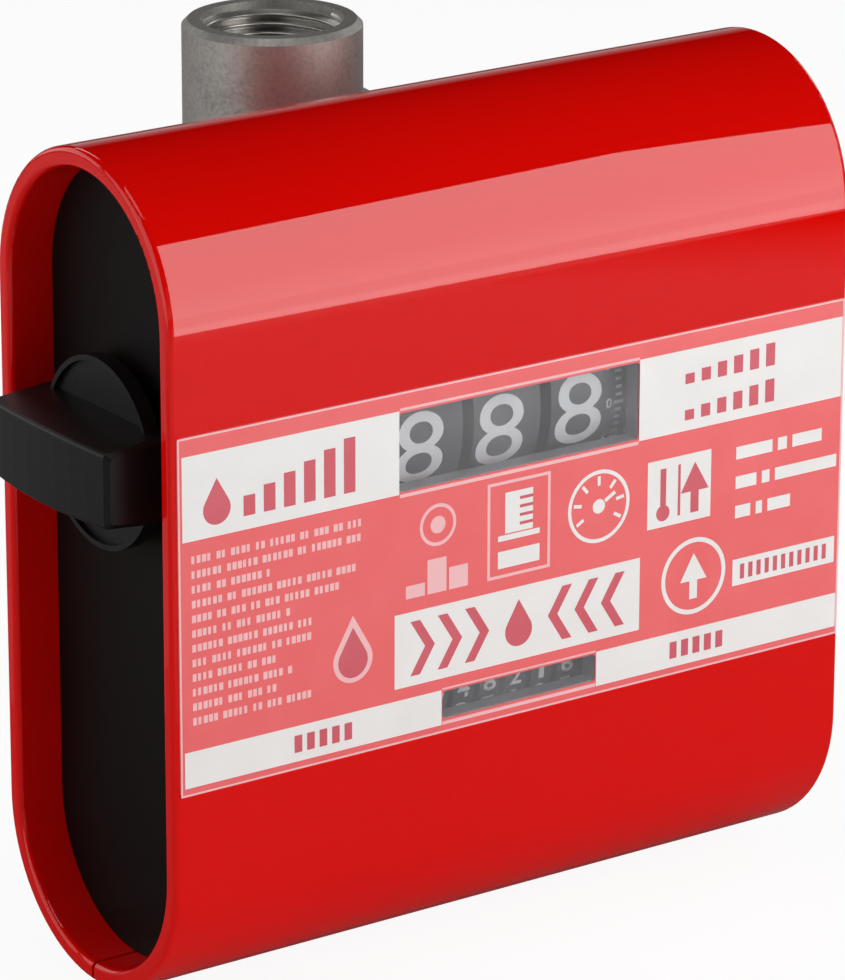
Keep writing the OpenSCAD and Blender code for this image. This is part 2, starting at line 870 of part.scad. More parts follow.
module cover_seal() {
  mid_r = cavity_d / 2 - face_gap - seal_section / 2;
  color("black") on_front(seal_y, crank_at) rotate_extrude()
    translate([mid_r, 0]) circle(d = seal_section);
}

// Measuring chamber, laid out about its middle with the axis along local Z

// Space of the chamber: a ball cut by two cones, grown inwards by gap
module chamber_space(gap) {
  rise = chamber_d / 2 * tan(disc_tilt);
  edge = disc_t / 2 / cos(disc_tilt) + chamber_gap - gap;
  intersection() {
    sphere(d = chamber_d - 2 * gap);
    union() for (s = [0, 1]) mirror([0, 0, s]) difference() {
      cylinder(d = chamber_d, h = rise + edge);
      translate([0, 0, edge]) cylinder(r1 = 0, r2 = chamber_d / 2, h = rise);
    }
  }
}

// One half of the chamber, on the side that local Z points to
module chamber_shell() {
  ball_seat_d = ball_d + 2 * (chamber_gap + run_gap);
  difference() {
    cylinder(r = chamber_r, h = chamber_half);
    chamber_space(0);
    sphere(d = ball_seat_d);
    for (a = [outlet_angle, inlet_angle]) rotate([0, 0, a])
      translate([chamber_d / 3, -chamber_port_w / 2, -over])
        cube([chamber_d, chamber_port_w, chamber_port_h / 2 + over]);
    rotate([0, 0, partition_angle])
      translate([chamber_d / 2 - over, -partition_t / 2 - pin_gap, -over])
        cube([groove_depth + over, partition_t + 2 * pin_gap, groove_half + over]);
    rotate([0, 0, outlet_angle]) translate([sleeve_seat, 0, 0]) rotate([0, 90, 0])
      cylinder(d = sleeve_d + 2 * spigot_gap, h = chamber_r);
  }
}

module chamber_front() {
  color("darkslategray") on_front(y_chamber_mid, crank_at) difference() {
    chamber_shell();
    cylinder(d = pin_window_d, h = chamber_half + over);
  }
}

module chamber_rear() {
  color("darkslategray") translate([0, y_chamber_mid, mid_z]) rotate([90, 0, 0])
    mirror([0, 0, 1]) chamber_shell();
}

module partition_plate() {
  color("silver") on_front(y_chamber_mid, crank_at) rotate([0, 0, partition_angle])
    difference() {
      union() {
        intersection() {
          rotate([0, 0, -partition_angle]) chamber_space(tongue_gap);
          translate([0, -partition_t / 2, -chamber_half])
            cube([chamber_d, partition_t, 2 * chamber_half]);
        }
        translate([chamber_d / 2 - over, -partition_t / 2, tongue_gap - groove_half])
          cube([groove_depth + over - tongue_gap, partition_t,
            2 * (groove_half - tongue_gap)]);
      }
      sphere(d = ball_d + 2 * (chamber_gap + tongue_gap));
    }
}

module outlet_sleeve() {
  color("darkslategray") translate([0, y_chamber_mid, mid_z + sleeve_seat]) difference() {
    cylinder(d = sleeve_d, h = sleeve_l);
    translate([0, 0, -over]) cylinder(d = sleeve_bore, h = sleeve_l + 2 * over);
  }
}

// Gearbox between the chamber and the counter

module gearbox_plate() {
  y_plate_front = y_back - plate_t;
  color("silver") difference() {
    union() {
      on_front(y_back, pocket_at) cylinder(d = plate_d, h = plate_t);
      on_front(y_back, output_at) cylinder(d = plate_boss_d, h = plate_t + plate_boss_l);
    }
    on_front(y_back + over, output_at)
      cylinder(d = spindle_d + 2 * crank_plate_gap, h = plate_t + plate_boss_l + 2 * over);
    on_front(y_back + over, output_at)
      cylinder(d = bush_d + 2 * pin_gap, h = plate_t + over);
    on_front(y_plate_front - plate_boss_l + seal_l + seal_lip, output_at)
      cylinder(d = seal_d + 2 * pin_gap, h = seal_l + seal_lip + over);
    on_front(y_back + over, crank_at)
      cylinder(d = crank_pin_d + 2 * run_gap, h = lay_pin_end + 2 * over);
    on_front(y_back + over, lay_at)
      cylinder(d = gear_pin_d + 2 * pin_gap, h = lay_pin_end + over + face_gap);
    on_front(y_back + over, pocket_at) difference() {
      cylinder(d = ring_groove_d + ring_section + 2 * face_gap, h = ring_section + over);
      translate([0, 0, -over])
        cylinder(d = ring_groove_d - ring_section - 2 * face_gap,
          h = ring_section + 3 * over);
    }
    for (p = plate_points()) on_front(y_back + over, p)
      cylinder(d = plate_screw_d + 2 * face_gap, h = plate_t + 2 * over);
  }
}

// Machine screw along +Y with its head against the plane y
module plate_screw(y, at) {
  translate([at[0], y, at[1]]) rotate([-90, 0, 0]) {
    cylinder(d = plate_screw_d - 2 * pin_gap, h = plate_t + screw_depth - screw_end_gap);
    difference() {
      translate([0, 0, -plate_head_t]) cylinder(d = plate_head_d, h = plate_head_t);
      translate([0, 0, -plate_head_t - over])
        cylinder(d = plate_head_d * socket_share, h = plate_head_t / 2 + over, $fn = 6);
    }
  }
}

module gearbox_screws() {
  color("gray") for (p = plate_points()) plate_screw(y_back - plate_t, p);
}

module gearbox_seal() {
  color("black") on_front(y_back - ring_section / 2, pocket_at) rotate_extrude()
    translate([ring_groove_d / 2, 0]) circle(d = ring_section - 2 * run_gap);
}

module spindle_seal() {
  y_seat = y_back - plate_t - plate_boss_l + seal_l + seal_lip;
  color("black") on_front(y_seat, output_at) difference() {
    cylinder(d = seal_d, h = seal_l);
    translate([0, 0, -over]) cylinder(d = spindle_d + 2 * run_gap, h = seal_l + 2 * over);
  }
}

module spindle_bush() {
  color("peru") on_front(y_back, output_at) difference() {
    cylinder(d = bush_d, h = plate_t);
    translate([0, 0, -over]) cylinder(d = spindle_d + 2 * run_gap, h = plate_t + 2 * over);
  }
}

module mounting_screws() {
  color("gray") for (p = mount_points())
    translate([p[0], y_inner_back - cheek_t, p[1]]) rotate([-90, 0, 0]) {
      cylinder(d = mount_screw_d - 2 * pin_gap, h = mount_screw_l);
      difference() {
        translate([0, 0, -mount_head_t]) cylinder(d = mount_head_d, h = mount_head_t);
        translate([0, 0, -mount_head_t - over])
          cylinder(d = mount_head_d * socket_share, h = mount_head_t / 2 + over, $fn = 6);
      }
    }
}

// Basket strainer in the inlet, with its rim in the counterbore past the thread
module strainer() {
  basket_d = passage_d - 2 * strainer_gap;
  color("silver") translate([0, 0, strainer_z]) difference() {
    union() {
      translate([0, 0, -strainer_t]) cylinder(d = strainer_rim_d, h = strainer_t);
      cylinder(d = basket_d, h = strainer_l);
    }
    translate([0, 0, -strainer_t - over])
      cylinder(d = basket_d - 2 * strainer_t, h = strainer_l + over);
    for (i = [0 : strainer_slots - 1]) rotate([0, 0, i * 360 / strainer_slots])
      translate([basket_d / 2 - 2 * strainer_t, -strainer_slot_w / 2, 2 * strainer_t])
        cube([3 * strainer_t, strainer_slot_w, strainer_l - 5 * strainer_t]);
  }
}

module calibration_screw() {
  x = cavity_d / 2 + calib_screw_short;
  color("silver") bar_x(x, [0, mid_z], calib_screw_d, drum_d / 2 - x);
}

module calibration_plug() {
  color("gray") on_x(drum_end, [0, mid_z]) {
    translate([0, 0, -plug_l]) cylinder(d = calib_bore_d, h = plug_l);
    cylinder(d = calib_bore_d * plug_hex_share, h = plug_head_t, $fn = 6);
  }
}

// Reset knob and its shaft

module knob_bush() {
  color("ivory") difference() {
    union() {
      bar_x(-panel_x - bush_rim_t, wheel_at, bush_rim_d, bush_rim_t);
      bar_x(-panel_x, wheel_at, bush_neck_d, panel_t + bush_back);
    }
    bar_x(-panel_x - bush_rim_t - over, wheel_at, reset_d + 2 * run_gap,
      panel_t + bush_back + bush_rim_t + 2 * over);
  }
}

// Thin slice of the grip bar at a distance from its middle: two round edges and a wider foot
module grip_slice(y, inset) {
  s = 2 * y / grip_l;
  x = grip_x + grip_bow * s * s + inset + grip_edge;
  h = grip_h - 2 * grip_crown * s * s - 2 * inset;
  foot_h = h + grip_base_h - grip_h;
  translate([0, wheel_y + y, wheel_z]) {
    for (side = [-1, 1])
      translate([x, 0, side * (h / 2 - grip_edge)]) rotate([90, 0, 0])
        cylinder(r = grip_edge, h = run_gap, center = true);
    translate([knob_x, -run_gap / 2, -foot_h / 2]) cube([flange_t, run_gap, foot_h]);
  }
}

// Grip bar, bowed outwards and in height along its length
module grip() {
  hull() {
    for (i = [-grip_steps : grip_steps])
      grip_slice(i / grip_steps * (grip_l / 2 - grip_edge), 0);
    for (side = [-1, 1]) grip_slice(side * (grip_l - run_gap) / 2, grip_edge);
  }
}

module knob() {
  color("dimgray") difference() {
    union() {
      bar_x(knob_x, wheel_at, flange_d, flange_t);
      on_x(knob_x - flange_rim_t, wheel_at) difference() {
        cylinder(d = flange_d, h = flange_rim_t + over);
        translate([0, 0, -over])
          cylinder(d = flange_d - 2 * flange_rim_w, h = flange_rim_t + 2 * over);
      }
      bar_x(knob_x + flange_t, wheel_at, knob_hub_d,
        -panel_x - bush_rim_t - face_gap - knob_x - flange_t);
      grip();
    }
    bar_x(knob_x - shaft_in_grip, wheel_at, reset_d + 2 * pin_gap, shaft_in_grip - grip_x);
  }
}

module reset_shaft() {
  shaft_left = knob_x - shaft_in_grip + pin_gap;
  shaft_right = cheek_right + cheek_t + face_gap + clip_t + shaft_tip;
  key_left = cheek_left + cheek_t;
  color("silver") difference() {
    bar_x(shaft_left, wheel_at, reset_d, shaft_right - shaft_left);
    translate([key_left, wheel_y - shaft_key_w / 2, wheel_z + reset_d / 2 - shaft_key_t])
      cube([cheek_right - key_left, shaft_key_w, shaft_key_t + over]);
    on_x(cheek_right + cheek_t + face_gap, wheel_at) difference() {
      cylinder(d = reset_d + over, h = clip_t + 2 * run_gap);
      translate([0, 0, -over]) cylinder(d = clip_seat, h = clip_t + 3 * over);
    }
  }
}

module shaft_clip() {
  color("gray") on_x(cheek_right + cheek_t + face_gap + run_gap, wheel_at) difference() {
    cylinder(d = clip_d, h = clip_t);
    translate([0, 0, -over]) cylinder(d = clip_seat + 2 * pin_gap, h = clip_t + 2 * over);
    translate([-clip_seat / 3, 0, -over]) cube([clip_seat / 1.5, clip_d, clip_t + 2 * over]);
  }
}

// Batch counter wheels

// Moulded drum of a wheel, open on both sides of its web
module drum(x, w) {
  bore_r = reset_d / 2 + run_gap;
  hub_r = bore_r + hub_wall;
  on_x(x, wheel_at) rotate_extrude() {
    translate([wheel_r - rim_t, 0]) square([rim_t, w]);
    translate([bore_r, 0]) square([hub_wall, w]);
    translate([hub_r - over, (w - web_t) / 2]) square([wheel_r - rim_t - hub_r + 2 * over, web_t]);
  }
}

// Gear ring on the right face of a wheel, carried by a disc from the hub to its rim
module right_gear(x) {
  gear_x(x, wheel_at, wheel_gear_n, transfer_m, 0, gear_ring_t, reset_d + 2 * run_gap);
}

// Drive disc with its two-tooth sector on the left face of a wheel
module left_driver(x) {
  on_x(x - gear_ring_t, wheel_at) difference() {
    cylinder(d = drive_ring_d, h = gear_ring_t);
    translate([0, 0, -over])
      cylinder(d = reset_d + 2 * run_gap, h = gear_ring_t + 2 * over);
    rotate([0, 0, transfer_angle - 180 / transfer_n])
      translate([drive_ring_d / 2 - transfer_m, -transfer_m / 2, -over])
        cube([transfer_m + over, transfer_m, gear_ring_t + 2 * over]);
  }
}

module hundreds_wheel() {
  left = hundreds_x - wheel_w / 2;
  color("ghostwhite") {
    drum(left, wheel_w);
    right_gear(left + wheel_w);
  }
}

module tens_wheel() {
  left = wheel_x - wheel_w / 2;
  color("ghostwhite") {
    drum(left, wheel_w);
    right_gear(left + wheel_w);
    left_driver(left);
  }
}

module units_wheel() {
  color("ghostwhite") {
    drum(units_left, units_w);
    left_driver(units_left);
    gear_x(ring_left, wheel_at, ring_n, gear_m, ring_turn, ring_w, reset_d + 2 * run_gap);
    on_x(ring_left - ring_step, wheel_at) difference() {
      cylinder(d = 2 * ring_r - 4 * gear_m, h = ring_step);
      translate([0, 0, -over]) cylinder(d = reset_d + 2 * run_gap, h = ring_step + 2 * over);
    }
  }
}

// Transfer pinion between two wheels
module transfer_pinion(x) {
  w = wheel_gap - 2 * face_gap;
  color("khaki") gear_x(x - w / 2, transfer_at, transfer_n, transfer_m, transfer_turn, w,
    transfer_d + 2 * run_gap);
}

module transfer_pinion_1() {
  transfer_pinion(wheel_x + wheel_pitch / 2);
}

module transfer_pinion_2() {
  transfer_pinion(wheel_x - wheel_pitch / 2);
}

// Totaliser wheel, numbered from the lowest digit on the right
module total_wheel(i) {
  x = total_first_x - (i - 1) * total_pitch - total_w / 2;
  bore_d = total_shaft_d + 2 * run_gap;
  color("whitesmoke") {
    on_x(x, total_at) difference() {
      cylinder(d = total_d, h = total_w);
      translate([0, 0, -over]) cylinder(d = bore_d, h = total_w + 2 * over);
    }
    if (i < total_wheels_n) on_x(x - total_ring_t, total_at) difference() {
      cylinder(d = total_drive_d, h = total_ring_t);
      translate([0, 0, -over]) cylinder(d = bore_d, h = total_ring_t + 2 * over);
      rotate([0, 0, total_transfer_angle - 180 / total_transfer_n])
        translate([total_drive_d / 2 - total_transfer_m, -total_transfer_m / 2, -over])
          cube([total_transfer_m + over, total_transfer_m, total_ring_t + 2 * over]);
    }
    if (i > 1) gear_x(x + total_w, total_at, total_gear_n, total_transfer_m, 0,
      total_ring_t, bore_d);
    if (i == 1) {
      bar_ring(x + total_w, total_gap / 2, bore_d);
      gear_x(total_drive_left, total_at, total_drive_n, gear_m, total_drive_turn,
        total_drive_w, bore_d);
    }
  }
}

// Hub between the first totaliser wheel and its drive gear
module bar_ring(x, w, bore_d) {
  on_x(x, total_at) difference() {
    cylinder(d = total_r, h = w);
    translate([0, 0, -over]) cylinder(d = bore_d, h = w + 2 * over);
  }
}

module total_wheel_1() {
  total_wheel(1);
}

module total_wheel_2() {
  total_wheel(2);
}

module total_wheel_3() {
  total_wheel(3);
}

module total_wheel_4() {
  total_wheel(4);
}

module total_wheel_5() {
  total_wheel(5);
}

module total_wheel_6() {
  total_wheel(6);
}

module total_pinion(i) {
  w = total_gap - 2 * total_pinion_gap;
  color("khaki")
    gear_x(total_first_x - (i - 0.5) * total_pitch - w / 2, total_transfer_at,
      total_transfer_n, total_transfer_m, total_transfer_turn, w, total_transfer_d + 2 * run_gap);
}

module total_pinion_1() {
  total_pinion(1);
}

module total_pinion_2() {
  total_pinion(2);
}

module total_pinion_3() {
  total_pinion(3);
}

module total_pinion_4() {
  total_pinion(4);
}

module total_pinion_5() {
  total_pinion(5);
}

// Drive train

// Axis of the disc, which leans towards +X as it runs to the front
module disc_axis() {
  translate([0, y_chamber_mid, mid_z]) rotate([0, 0, disc_tilt]) rotate([90, 0, 0]) children();
}

module crank() {
  y_plate_back = y_cavity - face_gap;
  plate_l = y_plate_back - y_gear_back - pin_reach_gap;
  color("khaki") difference() {
    union() {
      on_front(y_plate_back, crank_at) cylinder(d = crank_plate_d, h = plate_l);
      on_front(y_gear_back + pin_reach_gap + crank_neck, crank_at)
        cylinder(d = pinion_n * body_gear_m / 2, h = 2 * crank_neck);
      on_front(y_gear_back, crank_at)
        linear_extrude(gear_t) gear_outline(pinion_n, body_gear_m, 0);
      on_front(y_gear_back, crank_at)
        cylinder(d = crank_pin_d, h = y_gear_back - y_back + crank_tip);
    }
    disc_axis() cylinder(d = disc_pin_d + 2 * run_gap, h = pin_length());
  }
}

// Length of the disc's pin from the middle of the ball to the crank plate's front
function pin_length() = (y_chamber_mid - y_gear_back) / cos(disc_tilt) - 2 * pin_reach_gap
  - pin_gap;

module nutating_disc() {
  disc_d = chamber_d - 2 * chamber_gap - face_gap;
  color("darkslategray") disc_axis() {
    difference() {
      translate([0, 0, -disc_t / 2]) cylinder(d = disc_d, h = disc_t);
      rotate([0, 0, partition_angle]) translate([ball_d / 4, -disc_slot / 2, -disc_t])
        cube([chamber_d, disc_slot, 2 * disc_t]);
    }
    sphere(d = ball_d);
    cylinder(d = disc_pin_d, h = pin_length() - 2 * pin_gap);
  }
}

module lay_gear() {
  color("khaki") on_front(y_gear_back, lay_at) difference() {
    union() {
      linear_extrude(gear_t) gear_outline(lay_n, body_gear_m, lay_turn);
      cylinder(d = pinion_n * body_gear_m / 2 + gear_step, h = gear_t + gear_step);
      translate([0, 0, gear_t + gear_step])
        linear_extrude(gear_t) gear_outline(pinion_n, body_gear_m, 0);
    }
    translate([0, 0, -over])
      cylinder(d = gear_pin_d + 2 * run_gap, h = 2 * gear_t + gear_step + 2 * over);
  }
}

module spindle() {
  tip_y = y_bevel - bevel_large_r * bevel_face_share - spindle_gap;
  color("silver") {
    on_front(y_gear_front, output_at) cylinder(d = spindle_d, h = y_gear_front - tip_y);
    on_front(y_floor + lay_pin_end - face_gap, output_at)
      cylinder(d = spindle_tail_d, h = y_floor + lay_pin_end - face_gap - y_gear_front);
  }
}

module output_gear() {
  color("khaki") on_front(y_gear_front, output_at) difference() {
    linear_extrude(gear_t) gear_outline(lay_n, body_gear_m, output_turn);
    translate([0, 0, -over])
      cylinder(d = spindle_d + 2 * pin_gap, h = gear_t + 2 * over);
  }
}

// Straight bevel gear with its back on the local plane z = 0 and its apex at local z = depth
module bevel_gear(n, r, depth, turn, bore_d, hub_l) {
  cone_l = norm([r, depth]);
  half = atan(r / depth);
  tip_r = depth * tan(half + atan(add_share * gear_m / cone_l));
  root_r = depth * tan(half - atan(ded_share * gear_m / cone_l));
  h = depth * bevel_face_share;
  difference() {
    union() {
      linear_extrude(height = h, scale = 1 - bevel_face_share)
        polygon(tooth_points(n, root_r, tip_r, turn));
      translate([0, 0, -hub_l]) cylinder(d = bore_d * 2, h = hub_l);
    }
    translate([0, 0, -hub_l - over]) cylinder(d = bore_d, h = h + hub_l + 2 * over);
  }
}

module spindle_bevel() {
  color("goldenrod") on_front(y_bevel, output_at)
    bevel_gear(bevel_small_n, bevel_small_r, bevel_large_r, 0, spindle_d + 2 * pin_gap,
      small_hub_l);
}

module cross_bevel() {
  color("goldenrod") translate([bevel_small_r, cross_y, drive_z]) rotate([90, 0, -90])
    bevel_gear(bevel_large_n, bevel_large_r, bevel_small_r, large_bevel_turn,
      cross_d + 2 * pin_gap, large_hub_l);
}

module cross_shaft() {
  color("silver") {
    bar_x(cheek_left, cross_at, cross_d, cheek_right + cheek_t - cheek_left);
    on_x(cross_pinion_left, cross_at) linear_extrude(cross_pinion_w)
      gear_outline(pinion_n, gear_m, 0);
  }
}

module idler_gear() {
  color("khaki") gear_x(ring_left, idler_at, idler_n, gear_m, idler_turn, ring_w,
    counter_pin_d + 2 * run_gap);
}

module cluster_gear() {
  color("khaki") {
    gear_x(cluster_left, cluster_at, lay_n, gear_m, cluster_turn, cluster_w,
      counter_pin_d + 2 * run_gap);
    gear_x(total_drive_left, cluster_at, cluster_small_n, gear_m, 0,
      cluster_left - total_drive_left, counter_pin_d + 2 * run_gap);
  }
}

shell();
end_panel_left();
end_panel_right();
label();
counter_window();
totaliser_window();
counter_frame();
tie_rods();
transfer_shaft();
totaliser_shaft();
totaliser_transfer_shaft();
gear_pins();
meter_body();
rear_cover();
cover_screws();
cover_seal();
chamber_front();
chamber_rear();
partition_plate();
outlet_sleeve();
gearbox_plate();
gearbox_screws();
gearbox_seal();
spindle_seal();
spindle_bush();
mounting_screws();
strainer();
calibration_screw();
calibration_plug();
knob_bush();
knob();
reset_shaft();
shaft_clip();
hundreds_wheel();
tens_wheel();
units_wheel();
transfer_pinion_1();
transfer_pinion_2();
total_wheel_1();
total_wheel_2();
total_wheel_3();
total_wheel_4();
total_wheel_5();
total_wheel_6();
total_pinion_1();
total_pinion_2();
total_pinion_3();
total_pinion_4();
total_pinion_5();
crank();
nutating_disc();
lay_gear();
spindle();
output_gear();
spindle_bevel();
cross_shaft();
cross_bevel();
idler_gear();
cluster_gear();
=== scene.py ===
"""Mechanical diesel flow meter: the looks of its pieces, in the order in which it is put together."""

import math
import random

import bpy
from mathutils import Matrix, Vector


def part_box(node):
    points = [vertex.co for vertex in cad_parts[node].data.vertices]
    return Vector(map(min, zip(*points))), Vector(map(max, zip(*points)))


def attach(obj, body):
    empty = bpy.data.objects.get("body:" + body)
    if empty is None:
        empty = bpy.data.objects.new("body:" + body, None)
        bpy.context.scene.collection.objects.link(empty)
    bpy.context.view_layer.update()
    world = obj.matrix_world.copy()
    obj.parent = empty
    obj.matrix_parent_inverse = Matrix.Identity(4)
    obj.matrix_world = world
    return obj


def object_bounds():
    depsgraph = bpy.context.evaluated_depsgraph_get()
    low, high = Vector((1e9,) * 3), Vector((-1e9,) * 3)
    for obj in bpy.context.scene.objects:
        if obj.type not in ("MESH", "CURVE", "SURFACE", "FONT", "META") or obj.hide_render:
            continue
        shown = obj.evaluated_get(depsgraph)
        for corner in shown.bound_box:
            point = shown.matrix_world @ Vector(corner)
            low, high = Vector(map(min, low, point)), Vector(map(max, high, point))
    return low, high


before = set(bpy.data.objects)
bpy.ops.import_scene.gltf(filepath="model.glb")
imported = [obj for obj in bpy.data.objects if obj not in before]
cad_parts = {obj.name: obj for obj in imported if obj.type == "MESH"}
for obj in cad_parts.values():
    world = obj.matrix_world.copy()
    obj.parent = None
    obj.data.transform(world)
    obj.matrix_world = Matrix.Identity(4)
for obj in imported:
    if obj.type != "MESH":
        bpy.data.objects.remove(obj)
cad_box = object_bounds()

# Slot-shaped steel case. A welded tube, stoved with thick red enamel that runs smooth over the rims:
# an even, deep red under a clear top layer, whose sharp reflections waver a little because the
# enamel dries with a faint orange peel.
MM = 0.001
CASE_RED = "#DD0A05"
CASE_RED_THIN = "#D60804"


def linear(hex_colour):
    """The linear colour of an sRGB hex value."""
    shares = [int(hex_colour[i : i + 2], 16) / 255 for i in (1, 3, 5)]
    return [s / 12.92 if s <= 0.04045 else ((s + 0.055) / 1.055) ** 2.4 for s in shares] + [1.0]


def add_node(material, kind, links={}, **settings):
    """Adds a node: settings name its properties, links name its inputs, by a value or a socket."""
    node = material.node_tree.nodes.new(kind)
    for name, value in settings.items():
        setattr(node, name, value)
    for name, value in links.items():
        if isinstance(value, bpy.types.NodeSocket):
            material.node_tree.links.new(value, node.inputs[name])
        else:
            node.inputs[name].default_value = value
    return node


def new_material(name, **sockets):
    """A material with one shader. Its sockets are given by name, with spaces as underscores."""
    material = bpy.data.materials.new(name)
    material.use_nodes = True
    shader = material.node_tree.nodes["Principled BSDF"]
    for socket, value in sockets.items():
        target = shader.inputs[socket.replace("_", " ")]
        if isinstance(value, str):
            target.default_value = linear(value)
        else:
            target.default_value = value
    return material


def join(material, output, socket):
    """Links an output to the material's shader."""
    shader = material.node_tree.nodes["Principled BSDF"]
    material.node_tree.links.new(output, shader.inputs[socket])


def mottle(material, dark, light, size, detail):
    """Clouds a material between two colours in patches of a size in mm. Gives place and cloud."""
    place = add_node(material, "ShaderNodeTexCoord").outputs["Object"]
    cloud = add_node(material, "ShaderNodeTexNoise", {"Vector": place, "Scale": 1 / (size * MM),
                     "Detail": detail}).outputs["Fac"]
    tone = add_node(material, "ShaderNodeMix", {"Factor": cloud, "A": linear(dark),
                    "B": linear(light)}, data_type="RGBA")
    join(material, tone.outputs["Result"], "Base Color")
    return place, cloud


def roughen(material, height, strength, depth):
    """Raises a material by a pattern of a depth in mm. Gives the surface."""
    skin = add_node(material, "ShaderNodeBump", {"Height": height, "Strength": strength,
                    "Distance": depth * MM}).outputs["Normal"]
    join(material, skin, "Normal")
    return skin


def dress(material, *names):
    """Gives CAD nodes a material."""
    for name in names:
        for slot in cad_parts[name].material_slots:
            slot.material = material


enamel = new_material("stoved_red_enamel", Roughness=0.42, Coat_Weight=1.0, Coat_Roughness=0.025,
                      Specular_IOR_Level=0.0)
place, _ = mottle(enamel, CASE_RED_THIN, CASE_RED, 60, 2.0)
peel = add_node(enamel, "ShaderNodeTexNoise", {"Vector": place, "Scale": 1 / (2.4 * MM),
                "Detail": 1.0})
skin = roughen(enamel, peel.outputs["Fac"], 0.05, 0.02)
join(enamel, skin, "Coat Normal")
dress(enamel, "shell")

# End panels. Pressed sheet trays, sprayed satin black and pushed into the open ends of the case:
# nearly black with a wide, weak shine. The spray's speckle is drawn 0.9 mm wide, coarser than the
# real one, so that it shows.
panel_paint = new_material("satin_black_paint", Roughness=0.5, Specular_IOR_Level=0.14)
place, _ = mottle(panel_paint, "#090606", "#120E0D", 35, 3.0)
speckle = add_node(panel_paint, "ShaderNodeTexNoise", {"Vector": place, "Scale": 1 / (0.9 * MM),
                   "Detail": 2.0})
roughen(panel_paint, speckle.outputs["Fac"], 0.25, 0.05)
dress(panel_paint, "end_panel_left", "end_panel_right")

# Meter body and rear cover. Die-cast aluminium, blasted, its port bosses turned: a fine grey grain
# of small dark pits, duller where they are dense. The grit is drawn 1.1 mm wide so that it shows.
casting = new_material("blasted_cast_aluminium", Metallic=1.0)
place = add_node(casting, "ShaderNodeTexCoord").outputs["Object"]
grain = add_node(casting, "ShaderNodeTexNoise", {"Vector": place, "Scale": 1 / (1.1 * MM),
                 "Detail": 4.0, "Roughness": 0.65}).outputs["Fac"]
patch = add_node(casting, "ShaderNodeTexNoise", {"Vector": place, "Scale": 1 / (9 * MM),
                 "Detail": 3.0}).outputs["Fac"]
pits = add_node(casting, "ShaderNodeMix", {"Factor": 0.6, "A": patch, "B": grain}).outputs["Result"]
shade = add_node(casting, "ShaderNodeValToRGB", {"Fac": pits})
shade.color_ramp.elements[0].position = 0.36
shade.color_ramp.elements[0].color = linear("#A09D98")
shade.color_ramp.elements[1].position = 0.56
shade.color_ramp.elements[1].color = linear("#BBB8B3")
gloss = add_node(casting, "ShaderNodeMapRange", {"Value": pits, "From Min": 0.35, "From Max": 0.6,
                 "To Min": 0.58, "To Max": 0.5})
join(casting, shade.outputs["Color"], "Base Color")
join(casting, gloss.outputs["Result"], "Roughness")
roughen(casting, grain, 0.22, 0.08)
dress(casting, "meter_body", "rear_cover")

# Pipe threads. Tapped straight into the cast ports: a right-hand ridge with sloping flanks and a
# rounded crest, seven turns deep, that runs out at both ends. The tap leaves the metal brighter
# than the casting, with fine torn marks.
THREAD_PITCH = 2.309 * MM
THREAD_ROOT = 16.7 * MM
THREAD_CREST = 15.15 * MM
ROOT_SHARE = 0.5
CREST_SHARE = 0.1
CREST_ROUND = 0.3 * MM
THREAD_TURNS = 7
THREAD_STEPS = 96
THREAD_START = 1.2 * MM
# At both ends the ridge is flat for the first of these parts of a turn and rises over the second
FLAT_TURNS = 0.4
RUN_OUT_TURNS = 0.8
PORT_SPAN = cad_box[1][2] - cad_box[0][2]
# Points closer together than this are one
WELD = 0.001 * MM
cut_metal = new_material("tapped_aluminium", Metallic=1.0, Roughness=0.36)
mottle(cut_metal, "#A29E98", "#D2CFCA", 0.8, 3.0)


def deselect():
    """Leaves edit mode and selects nothing."""
    if bpy.context.object and bpy.context.object.mode != "OBJECT":
        bpy.ops.object.mode_set(mode="OBJECT")
    bpy.ops.object.select_all(action="DESELECT")


def settle(name, material, smooth=35):
    """Names the active piece, puts its place into its mesh and gives it its material."""
    piece = bpy.context.object
    bpy.ops.object.transform_apply(location=True, rotation=True, scale=True)
    piece.name = name
    piece.data.name = name
    piece.data.materials.clear()
    piece.data.materials.append(material)
    if smooth:
        bpy.ops.object.shade_smooth_by_angle(angle=math.radians(smooth))
    return piece


def tidy_mesh():
    """Merges doubles and turns every face of the active piece outwards."""
    bpy.ops.object.mode_set(mode="EDIT")
    bpy.ops.mesh.select_all(action="SELECT")
    bpy.ops.mesh.remove_doubles(threshold=WELD)
    bpy.ops.mesh.normals_make_consistent(inside=False)
    bpy.ops.object.mode_set(mode="OBJECT")


